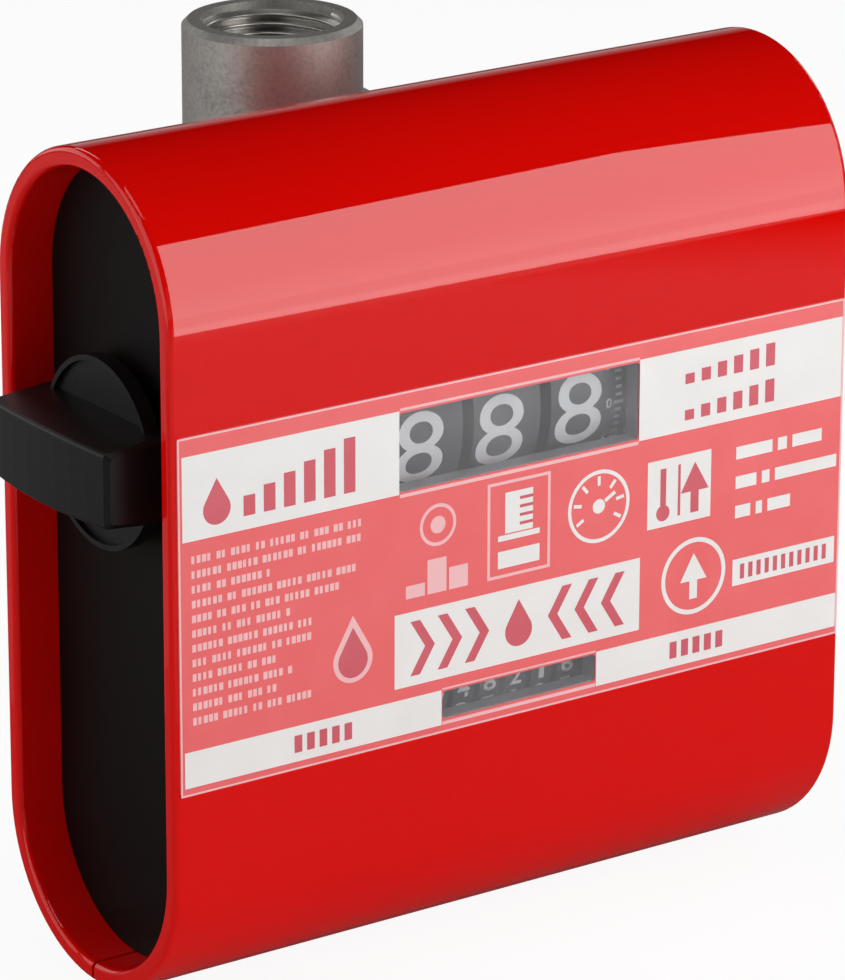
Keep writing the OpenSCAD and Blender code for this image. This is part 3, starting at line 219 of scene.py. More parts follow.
def cut_thread(name, low):
    """One thread, from the height low upwards: its outline is wound up, capped and run out."""
    deselect()
    bpy.ops.mesh.primitive_plane_add(size=1)
    ridge = bpy.context.object
    for vertex in ridge.data.vertices:
        outer = vertex.co.x > 0
        half = (ROOT_SHARE if outer else CREST_SHARE) * THREAD_PITCH
        radius = THREAD_ROOT if outer else THREAD_CREST
        vertex.co = Vector((radius, 0, low + math.copysign(half, vertex.co.y)))
    bpy.ops.object.mode_set(mode="EDIT")
    bpy.ops.mesh.select_all(action="SELECT")
    bpy.ops.mesh.delete(type="ONLY_FACE")
    bpy.ops.mesh.select_all(action="DESELECT")
    bpy.ops.object.mode_set(mode="OBJECT")
    for vertex in ridge.data.vertices:
        vertex.select = vertex.co.x < (THREAD_CREST + THREAD_ROOT) / 2
    bpy.ops.object.mode_set(mode="EDIT")
    bpy.ops.mesh.bevel(affect="VERTICES", offset=CREST_ROUND, segments=4)
    bpy.ops.object.mode_set(mode="OBJECT")
    turn = ridge.modifiers.new("turns", "SCREW")
    turn.axis = "Z"
    turn.screw_offset = THREAD_PITCH
    turn.iterations = THREAD_TURNS
    turn.steps = THREAD_STEPS
    turn.render_steps = THREAD_STEPS
    bpy.ops.object.modifier_apply(modifier=turn.name)
    bpy.ops.object.mode_set(mode="EDIT")
    bpy.ops.mesh.select_all(action="SELECT")
    bpy.ops.mesh.fill_holes(sides=0)
    bpy.ops.object.mode_set(mode="OBJECT")
    tidy_mesh()
    top = max(v.co.z for v in ridge.data.vertices)
    foot = min(v.co.z for v in ridge.data.vertices)
    for vertex in ridge.data.vertices:
        turns = min(top - vertex.co.z, vertex.co.z - foot) / THREAD_PITCH - FLAT_TURNS
        if turns < RUN_OUT_TURNS:
            radius = math.hypot(vertex.co.x, vertex.co.y)
            lift = (THREAD_ROOT - radius) * (1 - max(turns, 0) / RUN_OUT_TURNS) / radius
            vertex.co.x *= 1 + lift
            vertex.co.y *= 1 + lift
    thread = settle(name, cut_metal)
    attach(thread, "case")


cut_thread("outlet_thread", PORT_SPAN - THREAD_START - THREAD_TURNS * THREAD_PITCH)
cut_thread("inlet_thread", THREAD_START)

# Screws, plug and clip. Steel, cold headed or stamped, blackened in hot oil and driven into the
# castings: almost black and dull, in small patches.
black_steel = new_material("blackened_steel", Metallic=1.0, Roughness=0.45)
mottle(black_steel, "#1B1B1C", "#343436", 0.7, 3.0)
dress(black_steel, "cover_screws", "gearbox_screws", "mounting_screws", "calibration_plug",
      "shaft_clip")

# Counter frame with its rods, gearbox plate, partition and strainer. Punched and bent sheet and rod,
# zinc plated: pale grey, with soft patches from the bath.
zinc_steel = new_material("zinc_plated_steel", Metallic=1.0, Roughness=0.33)
mottle(zinc_steel, "#9C9FA0", "#C5C8C8", 1.6, 3.0)
dress(zinc_steel, "counter_frame", "tie_rods", "gearbox_plate", "partition_plate", "strainer")

# Shafts, pins and calibration screw. Bar steel, turned and ground, run in bushes and plates: bright,
# with a fine flicker from the tool.
turned_steel = new_material("turned_steel", Metallic=1.0, Roughness=0.25)
mottle(turned_steel, "#9A9A99", "#C4C4C2", 0.4, 3.0)
dress(turned_steel, "transfer_shaft", "totaliser_shaft", "totaliser_transfer_shaft", "gear_pins",
      "calibration_screw", "reset_shaft", "spindle", "cross_shaft")

# Seals. Moulded nitrile rubber, pressed between the castings and round the spindle: black and dull,
# with a faint bloom.
rubber = new_material("nitrile_rubber", Roughness=0.62, Specular_IOR_Level=0.4)
_, bloom = mottle(rubber, "#121212", "#1E1E1D", 3.0, 4.0)
roughen(rubber, bloom, 0.15, 0.03)
dress(rubber, "cover_seal", "gearbox_seal", "spindle_seal")

# Measuring chamber, disc and outlet sleeve. Glass-filled plastic, moulded and dropped into the
# body: dark blue grey and close-grained, with the fibres just to be seen.
chamber_plastic = new_material("glass_filled_plastic", Roughness=0.5)
_, fibre = mottle(chamber_plastic, "#1D2124", "#2B3033", 1.2, 4.0)
roughen(chamber_plastic, fibre, 0.15, 0.03)
dress(chamber_plastic, "chamber_front", "chamber_rear", "outlet_sleeve", "nutating_disc")

# Bush, crank, light gears and pinions. Natural acetal, moulded and slipped on their pins: off-white,
# and waxy because a little light sinks in.
acetal = new_material("natural_acetal", Roughness=0.38, Subsurface_Weight=0.1)
_, flow = mottle(acetal, "#D8D2C0", "#E6E1D2", 6.0, 4.0)
roughen(acetal, flow, 0.15, 0.03)
dress(acetal, "knob_bush", "crank", "lay_gear", "output_gear", "idler_gear", "cluster_gear",
      "transfer_pinion_1", "transfer_pinion_2", *[f"total_pinion_{i}" for i in range(1, 6)])

# Bevel pair. Brass, cut from bar and pressed on the spindle and the cross shaft: warm yellow, with a
# soft shine on the flanks.
brass = new_material("cut_brass", Metallic=1.0, Roughness=0.3)
_, tint = mottle(brass, "#A47C35", "#C99E50", 0.8, 4.0)
roughen(brass, tint, 0.15, 0.03)
dress(brass, "spindle_bevel", "cross_bevel")

# Spindle bush. Sintered bronze, soaked in oil and pressed into the gearbox plate: brown and dull,
# with open pores.
bronze = new_material("sintered_bronze", Metallic=1.0, Roughness=0.5)
_, pore = mottle(bronze, "#7C5A34", "#9C7548", 0.3, 4.0)
roughen(bronze, pore, 0.15, 0.03)
dress(bronze, "spindle_bush")

# Number wheels. Moulded plastic drums, which show dark grey with slow flow marks. White foil is
# stamped on them: ten figures each, and on the units wheel a scale of a hundred ticks, numbered.
# Each stamping is a thin sheet that follows the drum, dull and a little worn.
WHEEL_FIGURE = 8
FIGURE_SIZE = (12.8 * MM, 17.2 * MM)
# The middle of each wheel's figures and how far they stand turned, in degrees
FIGURE_PLACE = {"hundreds_wheel": (-22.6 * MM, -7.0), "tens_wheel": (-0.8 * MM, -7.0),
                "units_wheel": (20.8 * MM, -5.0)}
# Width of a 1 as a share of the other figures' width
ONE_WIDTH = 0.42
FIGURE_ANGLE = math.radians(36)
FOIL = 0.03 * MM
FOIL_LIFT = 0.01 * MM
BAND_ANGLE = math.radians(4)
SCALE_X = 31.7 * MM
SCALE_NUMBER_X = 29.0 * MM
SCALE_NUMBER_SIZE = (1.5 * MM, 2.4 * MM)
SCALE_NUMBER_BOLD = 0.02
TICK_ANGLE = math.radians(3.6)
TICK_LONG = 2.6 * MM
TICK_SHORT = 1.7 * MM
TICK_WIDTH = 0.75 * MM
wheel_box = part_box("hundreds_wheel")
wheel_radius = (wheel_box[1][2] - wheel_box[0][2]) / 2
wheel_y = (wheel_box[0][1] + wheel_box[1][1]) / 2
wheel_z = (wheel_box[0][2] + wheel_box[1][2]) / 2
wheel_black = new_material("moulded_black_plastic", Roughness=0.45)
mottle(wheel_black, "#3E3F42", "#494A4D", 4, 2.0)
dress(wheel_black, *FIGURE_PLACE, *[f"total_wheel_{i}" for i in range(1, 7)])
foil_white = new_material("stamped_white_foil", Roughness=0.5)
mottle(foil_white, "#E0E2E4", "#ECEDEE", 2, 2.0)


def flat_figure(text, width, height, x, z, bold=0.0):
    """A figure of the given size as a flat mesh, centred at x and z, facing the front."""
    deselect()
    bpy.ops.object.text_add(location=(0, 0, 0))
    figure = bpy.context.object
    figure.data.body = text
    figure.data.offset = bold
    figure.data.resolution_u = 6
    bpy.ops.object.convert(target="MESH")
    xs = [v.co.x for v in figure.data.vertices]
    ys = [v.co.y for v in figure.data.vertices]
    wide = width * (ONE_WIDTH if text == "1" else 1) / (max(xs) - min(xs))
    high = height / (max(ys) - min(ys))
    for vertex in figure.data.vertices:
        vertex.co = Vector((x + (vertex.co.x - (max(xs) + min(xs)) / 2) * wide, 0,
                            z + (vertex.co.y - (max(ys) + min(ys)) / 2) * high))
    return figure


def figure_ring(x, radius, size, shown, bold=0.0):
    """The ten figures of a wheel, flat, with the one shown at height zero."""
    pitch = radius * FIGURE_ANGLE
    return [flat_figure(str(d), *size, x, ((d - shown + 4) % 10 - 4) * pitch, bold)
            for d in range(10)]


def joined(parts):
    """Joins flat meshes into one, which is left active."""
    deselect()
    for part in parts:
        part.select_set(True)
    bpy.context.view_layer.objects.active = parts[0]
    bpy.ops.object.join()
    return bpy.context.object


def stamp(wheel, name, parts, radius, y, z, turn):
    """Cuts flat parts into narrow bands, winds them round a wheel and makes them a foil on it."""
    strip = joined(parts)
    heights = [v.co.z for v in strip.data.vertices]
    step = radius * BAND_ANGLE
    bpy.ops.object.mode_set(mode="EDIT")
    bpy.ops.mesh.select_all(action="SELECT")
    bpy.ops.mesh.remove_doubles(threshold=WELD)
    cut = math.ceil(min(heights) / step) * step
    while cut < max(heights):
        bpy.ops.mesh.select_all(action="SELECT")
        bpy.ops.mesh.bisect(plane_co=(0, 0, cut), plane_no=(0, 0, 1))
        cut += step
    bpy.ops.object.mode_set(mode="OBJECT")
    for vertex in strip.data.vertices:
        angle = vertex.co.z / radius + turn
        reach = radius + FOIL_LIFT
        vertex.co.y = y - reach * math.cos(angle)
        vertex.co.z = z + reach * math.sin(angle)
    tidy_mesh()
    thick = strip.modifiers.new("foil", "SOLIDIFY")
    thick.thickness = FOIL
    thick.offset = 0.0
    bpy.ops.object.modifier_apply(modifier=thick.name)
    tidy_mesh()
    figures = settle(name, foil_white, smooth=0)
    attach(figures, wheel)


for wheel, (middle, lag) in FIGURE_PLACE.items():
    parts = figure_ring(middle, wheel_radius, FIGURE_SIZE, WHEEL_FIGURE)
    if wheel == "units_wheel":
        tick_pitch = wheel_radius * TICK_ANGLE
        for i in range(-50, 50):
            deselect()
            bpy.ops.mesh.primitive_plane_add(size=1, rotation=(math.pi / 2, 0, 0),
                                             location=(SCALE_X, 0, i * tick_pitch))
            tick = bpy.context.object
            tick.scale = (TICK_SHORT if i % 5 else TICK_LONG, TICK_WIDTH, 1)
            bpy.ops.object.transform_apply(location=True, rotation=True, scale=True)
            parts.append(tick)
        for i in range(-10, 10):
            parts.append(flat_figure("05"[i % 2], *SCALE_NUMBER_SIZE, SCALE_NUMBER_X,
                                     i * 5 * tick_pitch, SCALE_NUMBER_BOLD))
    stamp(wheel, wheel.replace("wheel", "figures"), parts, wheel_radius, wheel_y, wheel_z,
          math.radians(lag))

# Totaliser wheels. Small drums of the same plastic on one shaft, with ten stamped figures each. They
# stand at a low reading, the first wheel at the right.
TOTAL_READING = "048216"
TOTAL_RADIUS = 10.0 * MM
TOTAL_FIRST = 17.7 * MM
TOTAL_PITCH = 7.2 * MM
TOTAL_SIZE = (3.4 * MM, 4.8 * MM)
TOTAL_BOLD = 0.015
total_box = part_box("total_wheel_6")
total_y = (total_box[0][1] + total_box[1][1]) / 2
total_z = (total_box[0][2] + total_box[1][2]) / 2
for i, shown in enumerate(reversed(TOTAL_READING)):
    parts = figure_ring(TOTAL_FIRST - i * TOTAL_PITCH, TOTAL_RADIUS, TOTAL_SIZE, int(shown),
                        TOTAL_BOLD)
    stamp(f"total_wheel_{i + 1}", f"total_figures_{i + 1}", parts, TOTAL_RADIUS, total_y, total_z, 0)

# Printed overlay. A polyester film, printed and stuck to the front of the case: washed-out red with
# a slight ripple. The inks are thin flat layers on it, warm white, pale pink and soft red, and draw
# bars, drops and plain pictograms. Places and sizes on the film are in millimetres.
INK = 0.03 * MM
INK_HEIGHT = 0.02 * MM
TOP_INK_HEIGHT = 0.06 * MM
label_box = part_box("label")
LABEL_Y = label_box[0][1]
film = new_material("printed_polyester_film", Roughness=0.33, Specular_IOR_Level=0.45)
white_ink = new_material("white_ink", Roughness=0.36)
pale_ink = new_material("pale_pink_ink", Roughness=0.36)
red_ink = new_material("soft_red_ink", Roughness=0.36)
for ink, dark, light in ((film, "#EA6061", "#F17072"), (white_ink, "#E6E4E2", "#F1F0EE"),
                         (pale_ink, "#F0B4B6", "#F6C6C8"), (red_ink, "#CC505C", "#D66470")):
    place, _ = mottle(ink, dark, light, 14, 3.0)
    ripple = add_node(ink, "ShaderNodeTexNoise", {"Vector": place, "Scale": 1 / (6 * MM),
                      "Detail": 1.0})
    roughen(ink, ripple.outputs["Fac"], 0.1, 0.05)
dress(film, "label")


def bar(x, z, width, height, lean=0.0):
    """A flat bar on the film, by its middle and size, turned by an angle in degrees."""
    deselect()
    bpy.ops.mesh.primitive_plane_add(size=1, rotation=(math.pi / 2, 0, 0))
    shape = bpy.context.object
    shape.scale = (width * MM, height * MM, 1)
    shape.rotation_euler[1] = math.radians(lean)
    shape.location = (x * MM, 0, z * MM)
    bpy.ops.object.transform_apply(location=True, rotation=True, scale=True)
    return shape


def block(left, right, low, high):
    """A flat bar on the film, by its edges."""
    return bar((left + right) / 2, (low + high) / 2, right - left, high - low)


def steps(count, left, pitch, width, low, high, rise=0.0):
    """A row of bars that stand on one line, each higher than the last by rise."""
    return [block(left + pitch * i, left + width + pitch * i, low, high + rise * i)
            for i in range(count)]


def slanted(x, z, width, height, lean):
    """A bar that stands on z and leans: its top edge lies further right by lean."""
    shape = block(x - width / 2, x + width / 2, z, z + height)
    for vertex in shape.data.vertices:
        if vertex.co.z > (z + height / 2) * MM:
            vertex.co.x += lean * MM
    return shape


def outline(left, right, low, high, width):
    """Four bars round a rectangle, inside its edges."""
    return [block(left, right, low, low + width), block(left, right, high - width, high),
            block(left, left + width, low + width, high - width),
            block(right - width, right, low + width, high - width)]


def disc(x, z, radius, corners=48):
    """A flat disc, or a regular shape with fewer corners."""
    deselect()
    bpy.ops.mesh.primitive_circle_add(radius=radius * MM, vertices=corners, fill_type="NGON",
                                      rotation=(math.pi / 2, 0, 0))
    shape = bpy.context.object
    shape.location = (x * MM, 0, z * MM)
    bpy.ops.object.transform_apply(location=True, rotation=True, scale=True)
    return shape


def ring(x, z, radius, width):
    """A flat ring: a disc inset by its width, without its middle."""
    shape = disc(x, z, radius)
    bpy.ops.object.mode_set(mode="EDIT")
    bpy.ops.mesh.select_all(action="SELECT")
    bpy.ops.mesh.inset(thickness=width * MM)
    bpy.ops.mesh.delete(type="FACE")
    bpy.ops.object.mode_set(mode="OBJECT")
    return shape


def drop(x, z, radius):
    """A drop: a disc whose upper part runs up to a point, twice as far out, along its tangents."""
    shape = disc(x, z, radius)
    tangent_share = 0.51
    bpy.ops.object.mode_set(mode="EDIT")
    bpy.ops.mesh.select_all(action="DESELECT")
    bpy.ops.object.mode_set(mode="OBJECT")
    top = max(v.co.z for v in shape.data.vertices) - WELD
    for vertex in shape.data.vertices:
        vertex.select = (z + tangent_share * radius) * MM < vertex.co.z < top
    bpy.ops.object.mode_set(mode="EDIT")
    bpy.ops.mesh.dissolve_verts()
    bpy.ops.object.mode_set(mode="OBJECT")
    for vertex in shape.data.vertices:
        if vertex.co.z > top:
            vertex.co.z += radius * MM
    return shape


def arrow(x, z, width, height):
    """An upright arrow that stands on z: a shaft and a head that touch."""
    head = disc(x, z + height - width, width, 3)
    base = min(v.co.z for v in head.data.vertices) / MM
    return [block(x - width / 4, x + width / 4, z, base), head]


def print_layer(name, ink, shapes, height):
    """Joins flat shapes into one layer of ink that stands the given height off the film."""
    layer = joined(shapes)
    for vertex in layer.data.vertices:
        vertex.co.y = LABEL_Y - height
    thick = layer.modifiers.new("ink", "SOLIDIFY")
    thick.thickness = INK
    thick.offset = 0.0
    bpy.ops.object.modifier_apply(modifier=thick.name)
    tidy_mesh()
    piece = settle(name, ink, smooth=0)
    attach(piece, "case")


# White ink: the fields beside both windows and round the signs, a graduated cylinder, a gauge with
# its ticks and needle, an arrow in a ring, and heavy broken lines at the right.
LABEL_LEFT = label_box[0][0] / MM
LABEL_RIGHT = label_box[1][0] / MM
LABEL_LOW = label_box[0][2] / MM
LABEL_HIGH = label_box[1][2] / MM
FIELD_LEFT = LABEL_LEFT + 1.1
FIELD_RIGHT = LABEL_RIGHT - 0.6
TOP_FIELD = (116.3, 135.5)
FOOT_FIELD = (59.9, 68.2)
COUNTER_SIDES = (-33.2, 32.34)
TOTAL_SIDES = (-21.7, 21.1)
# Fields and parts of signs by their left, right, low and high edges
CHEVRON_FIELD = (-34.4, 33.1, 71.0, 88.4)
PAIR_FIELD = (35.0, 53.0, 94.5, 110.6)
COMB_FIELD = (59.8, 89.6, 76.0, 82.4)
CYLINDER = (-4.6, 3.0, 101.6, 111.2)
CYLINDER_FOOT = (-6.5, 4.9, 100.0, 101.3)
CYLINDER_STAND = (-6.5, 4.9, 93.6, 97.6)
GAUGE = (21.3, 103.0)
GAUGE_RADIUS = 8.6
GAUGE_LINE = 0.9
GAUGE_HUB = 1.7
# How far out their middle stands, their width and their length
GAUGE_TICK = (6.0, 0.8, 2.2)
GAUGE_NEEDLE = (3.6, 0.9, 3.2)
NEEDLE_ANGLE = 60
RING_ARROW = (48.5, 80.9)
RING_ARROW_RADIUS = 9.2
RING_ARROW_LINE = 1.1
RING_ARROW_FOOT = 75.4
RING_ARROW_SIZE = (4.4, 11.0)
HEAVY_LEFT = 60.2
HEAVY_LOW = 106.6
HEAVY_HIGH = 109.6
HEAVY_ROW = 7.1
HEAVY_GAP = 1.6
HEAVY_LINES = ((10.5, 2.6, 8.6), (6.0, 2.2, 18.0), (4.4, 1.8, 6.6))
whites = []
for (left, right), heights in ((COUNTER_SIDES, TOP_FIELD), (TOTAL_SIDES, FOOT_FIELD)):
    whites += [block(FIELD_LEFT, left, *heights), block(right, FIELD_RIGHT, *heights)]
whites += [block(*edges) for edges in (CHEVRON_FIELD, PAIR_FIELD, COMB_FIELD, CYLINDER,
                                       CYLINDER_FOOT, CYLINDER_STAND)]
whites += [ring(*GAUGE, GAUGE_RADIUS, GAUGE_LINE), disc(*GAUGE, GAUGE_HUB)]
hands = [(angle, GAUGE_TICK) for angle in range(-120, 121, 40)] + [(NEEDLE_ANGLE, GAUGE_NEEDLE)]
for angle, (reach, width, length) in hands:
    turn = math.radians(angle)
    whites += [bar(GAUGE[0] + reach * math.sin(turn), GAUGE[1] + reach * math.cos(turn), width,
                   length, angle)]
whites += [ring(*RING_ARROW, RING_ARROW_RADIUS, RING_ARROW_LINE)]
whites += arrow(RING_ARROW[0], RING_ARROW_FOOT, *RING_ARROW_SIZE)
for row, lengths in enumerate(HEAVY_LINES):
    x = HEAVY_LEFT
    for length in lengths:
        whites.append(block(x, x + length, HEAVY_LOW - row * HEAVY_ROW, HEAVY_HIGH - row * HEAVY_ROW))
        x += length + HEAVY_GAP
print_layer("white_print", white_ink, whites, INK_HEIGHT)

# Pale ink: a line round the film, lines over and under both windows, the cylinder's frame, a ring
# over three steps, a drop, and fine broken lines of even height at the left.
EDGE_INSET = 0.05
EDGE_LINE = 0.45
# Lines and steps by their left, right, low and high edges
WINDOW_LINES = ((-33.0, 32.2, 135.5, 136.1), (-33.0, 32.2, 115.5, 116.3),
                (-21.5, 20.9, 68.2, 68.6), (-21.5, 20.9, 59.9, 60.7))
CYLINDER_FRAME = (-9.4, 7.8, 91.4, 114.0)
CYLINDER_FRAME_LINE = 0.7
PALE_RING = (-22.8, 107.4)
PALE_RING_RADIUS = 4.9
PALE_RING_LINE = 0.8
PALE_RING_CORE = 2.0
PALE_STEPS = ((-31.4, -26.3, 91.6, 94.6), (-25.6, -20.5, 91.6, 99.6),
              (-19.8, -14.7, 91.6, 96.8))
PALE_DROP = (-45.5, 80.4, 5.2)
FINE_LEFT = -87.2
FINE_TOP = 112.0
FINE_ROW = 3.36
FINE_HALF = 0.85
FINE_PITCH = 1.35
FINE_GAP = 1.0
FINE_LEAST = 1.5
FINE_WIDTHS = (0.75, 0.95, 1.05)
FINE_COUNTS = (2, 3, 4, 5, 6)
FINE_ENDS = (-42, -43, -66, -42, -48, -61, -55, -55, -65, -60, -65, -56)
pales = outline(LABEL_LEFT + EDGE_INSET, LABEL_RIGHT - EDGE_INSET, LABEL_LOW + EDGE_INSET,
                LABEL_HIGH - EDGE_INSET, EDGE_LINE)
pales += [block(*edges) for edges in WINDOW_LINES]
pales += outline(*CYLINDER_FRAME, CYLINDER_FRAME_LINE)
pales += [ring(*PALE_RING, PALE_RING_RADIUS, PALE_RING_LINE), disc(*PALE_RING, PALE_RING_CORE)]
pales += [block(*edges) for edges in PALE_STEPS]
random.seed(7)
for row, end in enumerate(FINE_ENDS):
    z = FINE_TOP - FINE_ROW * row
    x = FINE_LEFT
    while x < end - FINE_LEAST:
        marks = min(random.choice(FINE_COUNTS), int((end - x) / FINE_PITCH))
        for i in range(marks):
            wide = random.choice(FINE_WIDTHS)
            left = x + i * FINE_PITCH
            pales.append(block(left, left + wide, z - FINE_HALF, z + FINE_HALF))
        x += marks * FINE_PITCH + FINE_GAP
pales += [drop(*PALE_DROP)]
print_layer("pale_print", pale_ink, pales, INK_HEIGHT)

# Red ink, laid over the white and the pale: drops, rising and even bars, chevrons that point at the
# middle drop, a thermometer beside an arrow, and the marks of the cylinder.
CHEVRON_MIDDLE = -0.7
CHEVRON_HEIGHT = 79.7
CHEVRON_START = 9.4
CHEVRON_PITCH = 7.4
CHEVRON_WIDTH = 2.6
CHEVRON_HALF = 6.4
CHEVRON_REACH = 4.0
FIELD_DROP = (-80.6, 122.4, 3.5)
MIDDLE_DROP = (CHEVRON_MIDDLE, 78.0, 3.7)
INNER_DROP = (-45.5, 80.2, 3.9)
# Rows by their count, left edge, pitch, width, low and high edges, and the rise where there is one
RISING_ROWS = ((6, -73.8, 5.2, 3.0, 119.4, 124.0, 1.6), (6, 45.2, 4.6, 2.6, 127.4, 129.8, 0.6),
               (6, 45.2, 4.6, 2.6, 118.8, 121.2, 0.6))
FOOT_ROWS = ((5, -61.0, 3.3, 2.0, 62.0, 66.0), (5, 42.0, 3.3, 2.0, 62.0, 66.0))
COMB_ROW = (11, 62.0, 2.4, 1.2, 77.4, 81.0)
THERMOMETER_STEM = (38.6, 40.2, 99.6, 108.4)
THERMOMETER_BULB = (39.4, 97.8, 1.9)
PAIR_LINE = (43.6, 44.3, 96.4, 108.6)
# Middle, foot, radius of its head and height
PAIR_ARROW = (48.4, 96.4, 4.6, 12.0)
MARK_LEFT = -0.6
MARK_LOW = 103.0
MARK_HIGH = 103.7
MARK_PITCH = 2.0
reds = [drop(*FIELD_DROP)]
for row in RISING_ROWS + FOOT_ROWS:
    reds += steps(*row)
reds += [drop(*MIDDLE_DROP), drop(*INNER_DROP)]
for side in (-1, 1):
    for i in range(3):
        x = CHEVRON_MIDDLE + side * (CHEVRON_START + CHEVRON_PITCH * i)
        lean = side * CHEVRON_REACH
        low = CHEVRON_HEIGHT - CHEVRON_HALF
        reds += [slanted(x, CHEVRON_HEIGHT, CHEVRON_WIDTH, CHEVRON_HALF, lean),
                 slanted(x + lean, low, CHEVRON_WIDTH, CHEVRON_HALF, -lean)]
reds += [block(*THERMOMETER_STEM), disc(*THERMOMETER_BULB)] + arrow(*PAIR_ARROW)
reds += [block(*PAIR_LINE)] + steps(*COMB_ROW)
reds += [block(MARK_LEFT, CYLINDER[1], MARK_LOW + MARK_PITCH * i, MARK_HIGH + MARK_PITCH * i)
         for i in range(4)]
print_layer("red_print", red_ink, reds, TOP_INK_HEIGHT)

# Linings of the two cut-outs behind the windows. Moulded grey ABS sleeves, pressed into the steel
# from the front, so that no bare red edge shows between the film and the wheels: an even, dull grey.
LINING_WALL = 0.7 * MM
LINING_DEPTH = 4.2 * MM
LINING_BACK = 0.45 * MM
LINING_ROUND = 1.1 * MM
# Name, middle, low edge, width and height
LININGS = (("counter_lining", -0.45, 116.25, 66.4, 19.2),
           ("totaliser_lining", -0.3, 60.75, 43.3, 7.5))
lining_grey = new_material("grey_moulded_abs", Roughness=0.5)
mottle(lining_grey, "#77787C", "#84858A", 3, 2.0)
for name, middle, low, width, height in LININGS:
    sleeve = block(middle - width / 2, middle + width / 2, low, low + height)
    for vertex in sleeve.data.vertices:
        vertex.co.y = LABEL_Y + LINING_BACK + LINING_DEPTH / 2
    bpy.ops.object.mode_set(mode="EDIT")
    bpy.ops.mesh.select_all(action="SELECT")
    bpy.ops.mesh.bevel(offset=LINING_ROUND, segments=4, affect="VERTICES")
    bpy.ops.mesh.select_all(action="SELECT")
    bpy.ops.mesh.inset(thickness=LINING_WALL)
    bpy.ops.mesh.delete(type="FACE")
    bpy.ops.object.mode_set(mode="OBJECT")
    wall = sleeve.modifiers.new("wall", "SOLIDIFY")
    wall.thickness = LINING_DEPTH
    wall.offset = 0.0
    bpy.ops.object.modifier_apply(modifier=wall.name)
    tidy_mesh()
    lining = settle(name, lining_grey)
    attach(lining, "case")

# Windows. Clear fields of the same polyester film, unprinted, stuck over the cut-outs. A little
# milky, so that the wheels show grey, with a faint mirror at low angles. Light passes unhindered.
clear_film = bpy.data.materials.new("clear_polyester_film")
clear_film.use_nodes = True
clear_film.node_tree.nodes.clear()
place = add_node(clear_film, "ShaderNodeTexCoord")
haze = add_node(clear_film, "ShaderNodeTexNoise", {"Vector": place.outputs["Object"],
                "Scale": 1 / (16 * MM), "Detail": 2.0})
milk = add_node(clear_film, "ShaderNodeMapRange", {"Value": haze.outputs["Fac"], "From Min": 0.3,
                "From Max": 0.7, "To Min": 0.05, "To Max": 0.09})
clear = add_node(clear_film, "ShaderNodeBsdfTransparent", {"Color": (0.97, 0.97, 0.98, 1)})
white = add_node(clear_film, "ShaderNodeBsdfDiffuse", {"Color": linear("#E9EAEC")})
veil = add_node(clear_film, "ShaderNodeMixShader", {0: milk.outputs["Result"],
                1: clear.outputs["BSDF"], 2: white.outputs["BSDF"]})
mirror = add_node(clear_film, "ShaderNodeBsdfGlossy", {"Roughness": 0.06,
                  "Color": (0.9, 0.9, 0.9, 1)})
edge = add_node(clear_film, "ShaderNodeFresnel", {"IOR": 1.4})
pane = add_node(clear_film, "ShaderNodeMixShader", {0: edge.outputs["Fac"],
                1: veil.outputs["Shader"], 2: mirror.outputs["BSDF"]})
passing = add_node(clear_film, "ShaderNodeBsdfTransparent")
film_ray = add_node(clear_film, "ShaderNodeLightPath")
shown = add_node(clear_film, "ShaderNodeMixShader", {0: film_ray.outputs["Is Shadow Ray"],
                 1: pane.outputs["Shader"], 2: passing.outputs["BSDF"]})
add_node(clear_film, "ShaderNodeOutputMaterial", {"Surface": shown.outputs["Shader"]})
dress(clear_film, "counter_window", "totaliser_window")

# Reset knob. Moulded black plastic, pressed on the reset shaft: soft black with slow clouds. The
# spark-eroded grain is drawn 0.7 mm wide, coarser than the real one, so that it shows.
knob_plastic = new_material("grained_black_plastic", Roughness=0.42, Specular_IOR_Level=0.35)
place, _ = mottle(knob_plastic, "#060606", "#0D0D0D", 12, 2.0)
grain = add_node(knob_plastic, "ShaderNodeTexNoise", {"Vector": place, "Scale": 1 / (0.7 * MM),
                 "Detail": 3.0})
roughen(knob_plastic, grain.outputs["Fac"], 0.6, 0.08)
dress(knob_plastic, "knob")

# Floor: plain white paper that keeps a soft shadow. The camera sees it near white, and it throws a
# little light of its own on the underside. Polished faces see it darker, which keeps the red deep.
FLOOR_SIZE = 12
FLOOR_GAP = 0.5 * MM
FLOOR_MIRRORED = 0.44
deselect()
bpy.ops.mesh.primitive_plane_add(size=FLOOR_SIZE, location=(0, 0, cad_box[0][2] - FLOOR_GAP))
floor = bpy.context.object
floor.name = "floor"
paper = bpy.data.materials.new("white_paper")
paper.use_nodes = True
paper.node_tree.nodes.clear()
bright = add_node(paper, "ShaderNodeBsdfDiffuse", {"Color": (0.85, 0.85, 0.85, 1)})
bounce = add_node(paper, "ShaderNodeEmission", {"Strength": 0.12})
backed = add_node(paper, "ShaderNodeAddShader", {0: bright.outputs["BSDF"],
                  1: bounce.outputs["Emission"]})
mirrored = add_node(paper, "ShaderNodeBsdfDiffuse", {"Color": (*[FLOOR_MIRRORED] * 3, 1)})
shadowed = add_node(paper, "ShaderNodeBsdfDiffuse", {"Color": (0.09, 0.09, 0.09, 1)})
lit = add_node(paper, "ShaderNodeEmission", {"Strength": 0.92})
seen = add_node(paper, "ShaderNodeAddShader", {0: shadowed.outputs["BSDF"],
                1: lit.outputs["Emission"]})
ray = add_node(paper, "ShaderNodeLightPath")
unseen = add_node(paper, "ShaderNodeMixShader", {0: ray.outputs["Is Glossy Ray"],
                  1: backed.outputs["Shader"], 2: mirrored.outputs["BSDF"]})
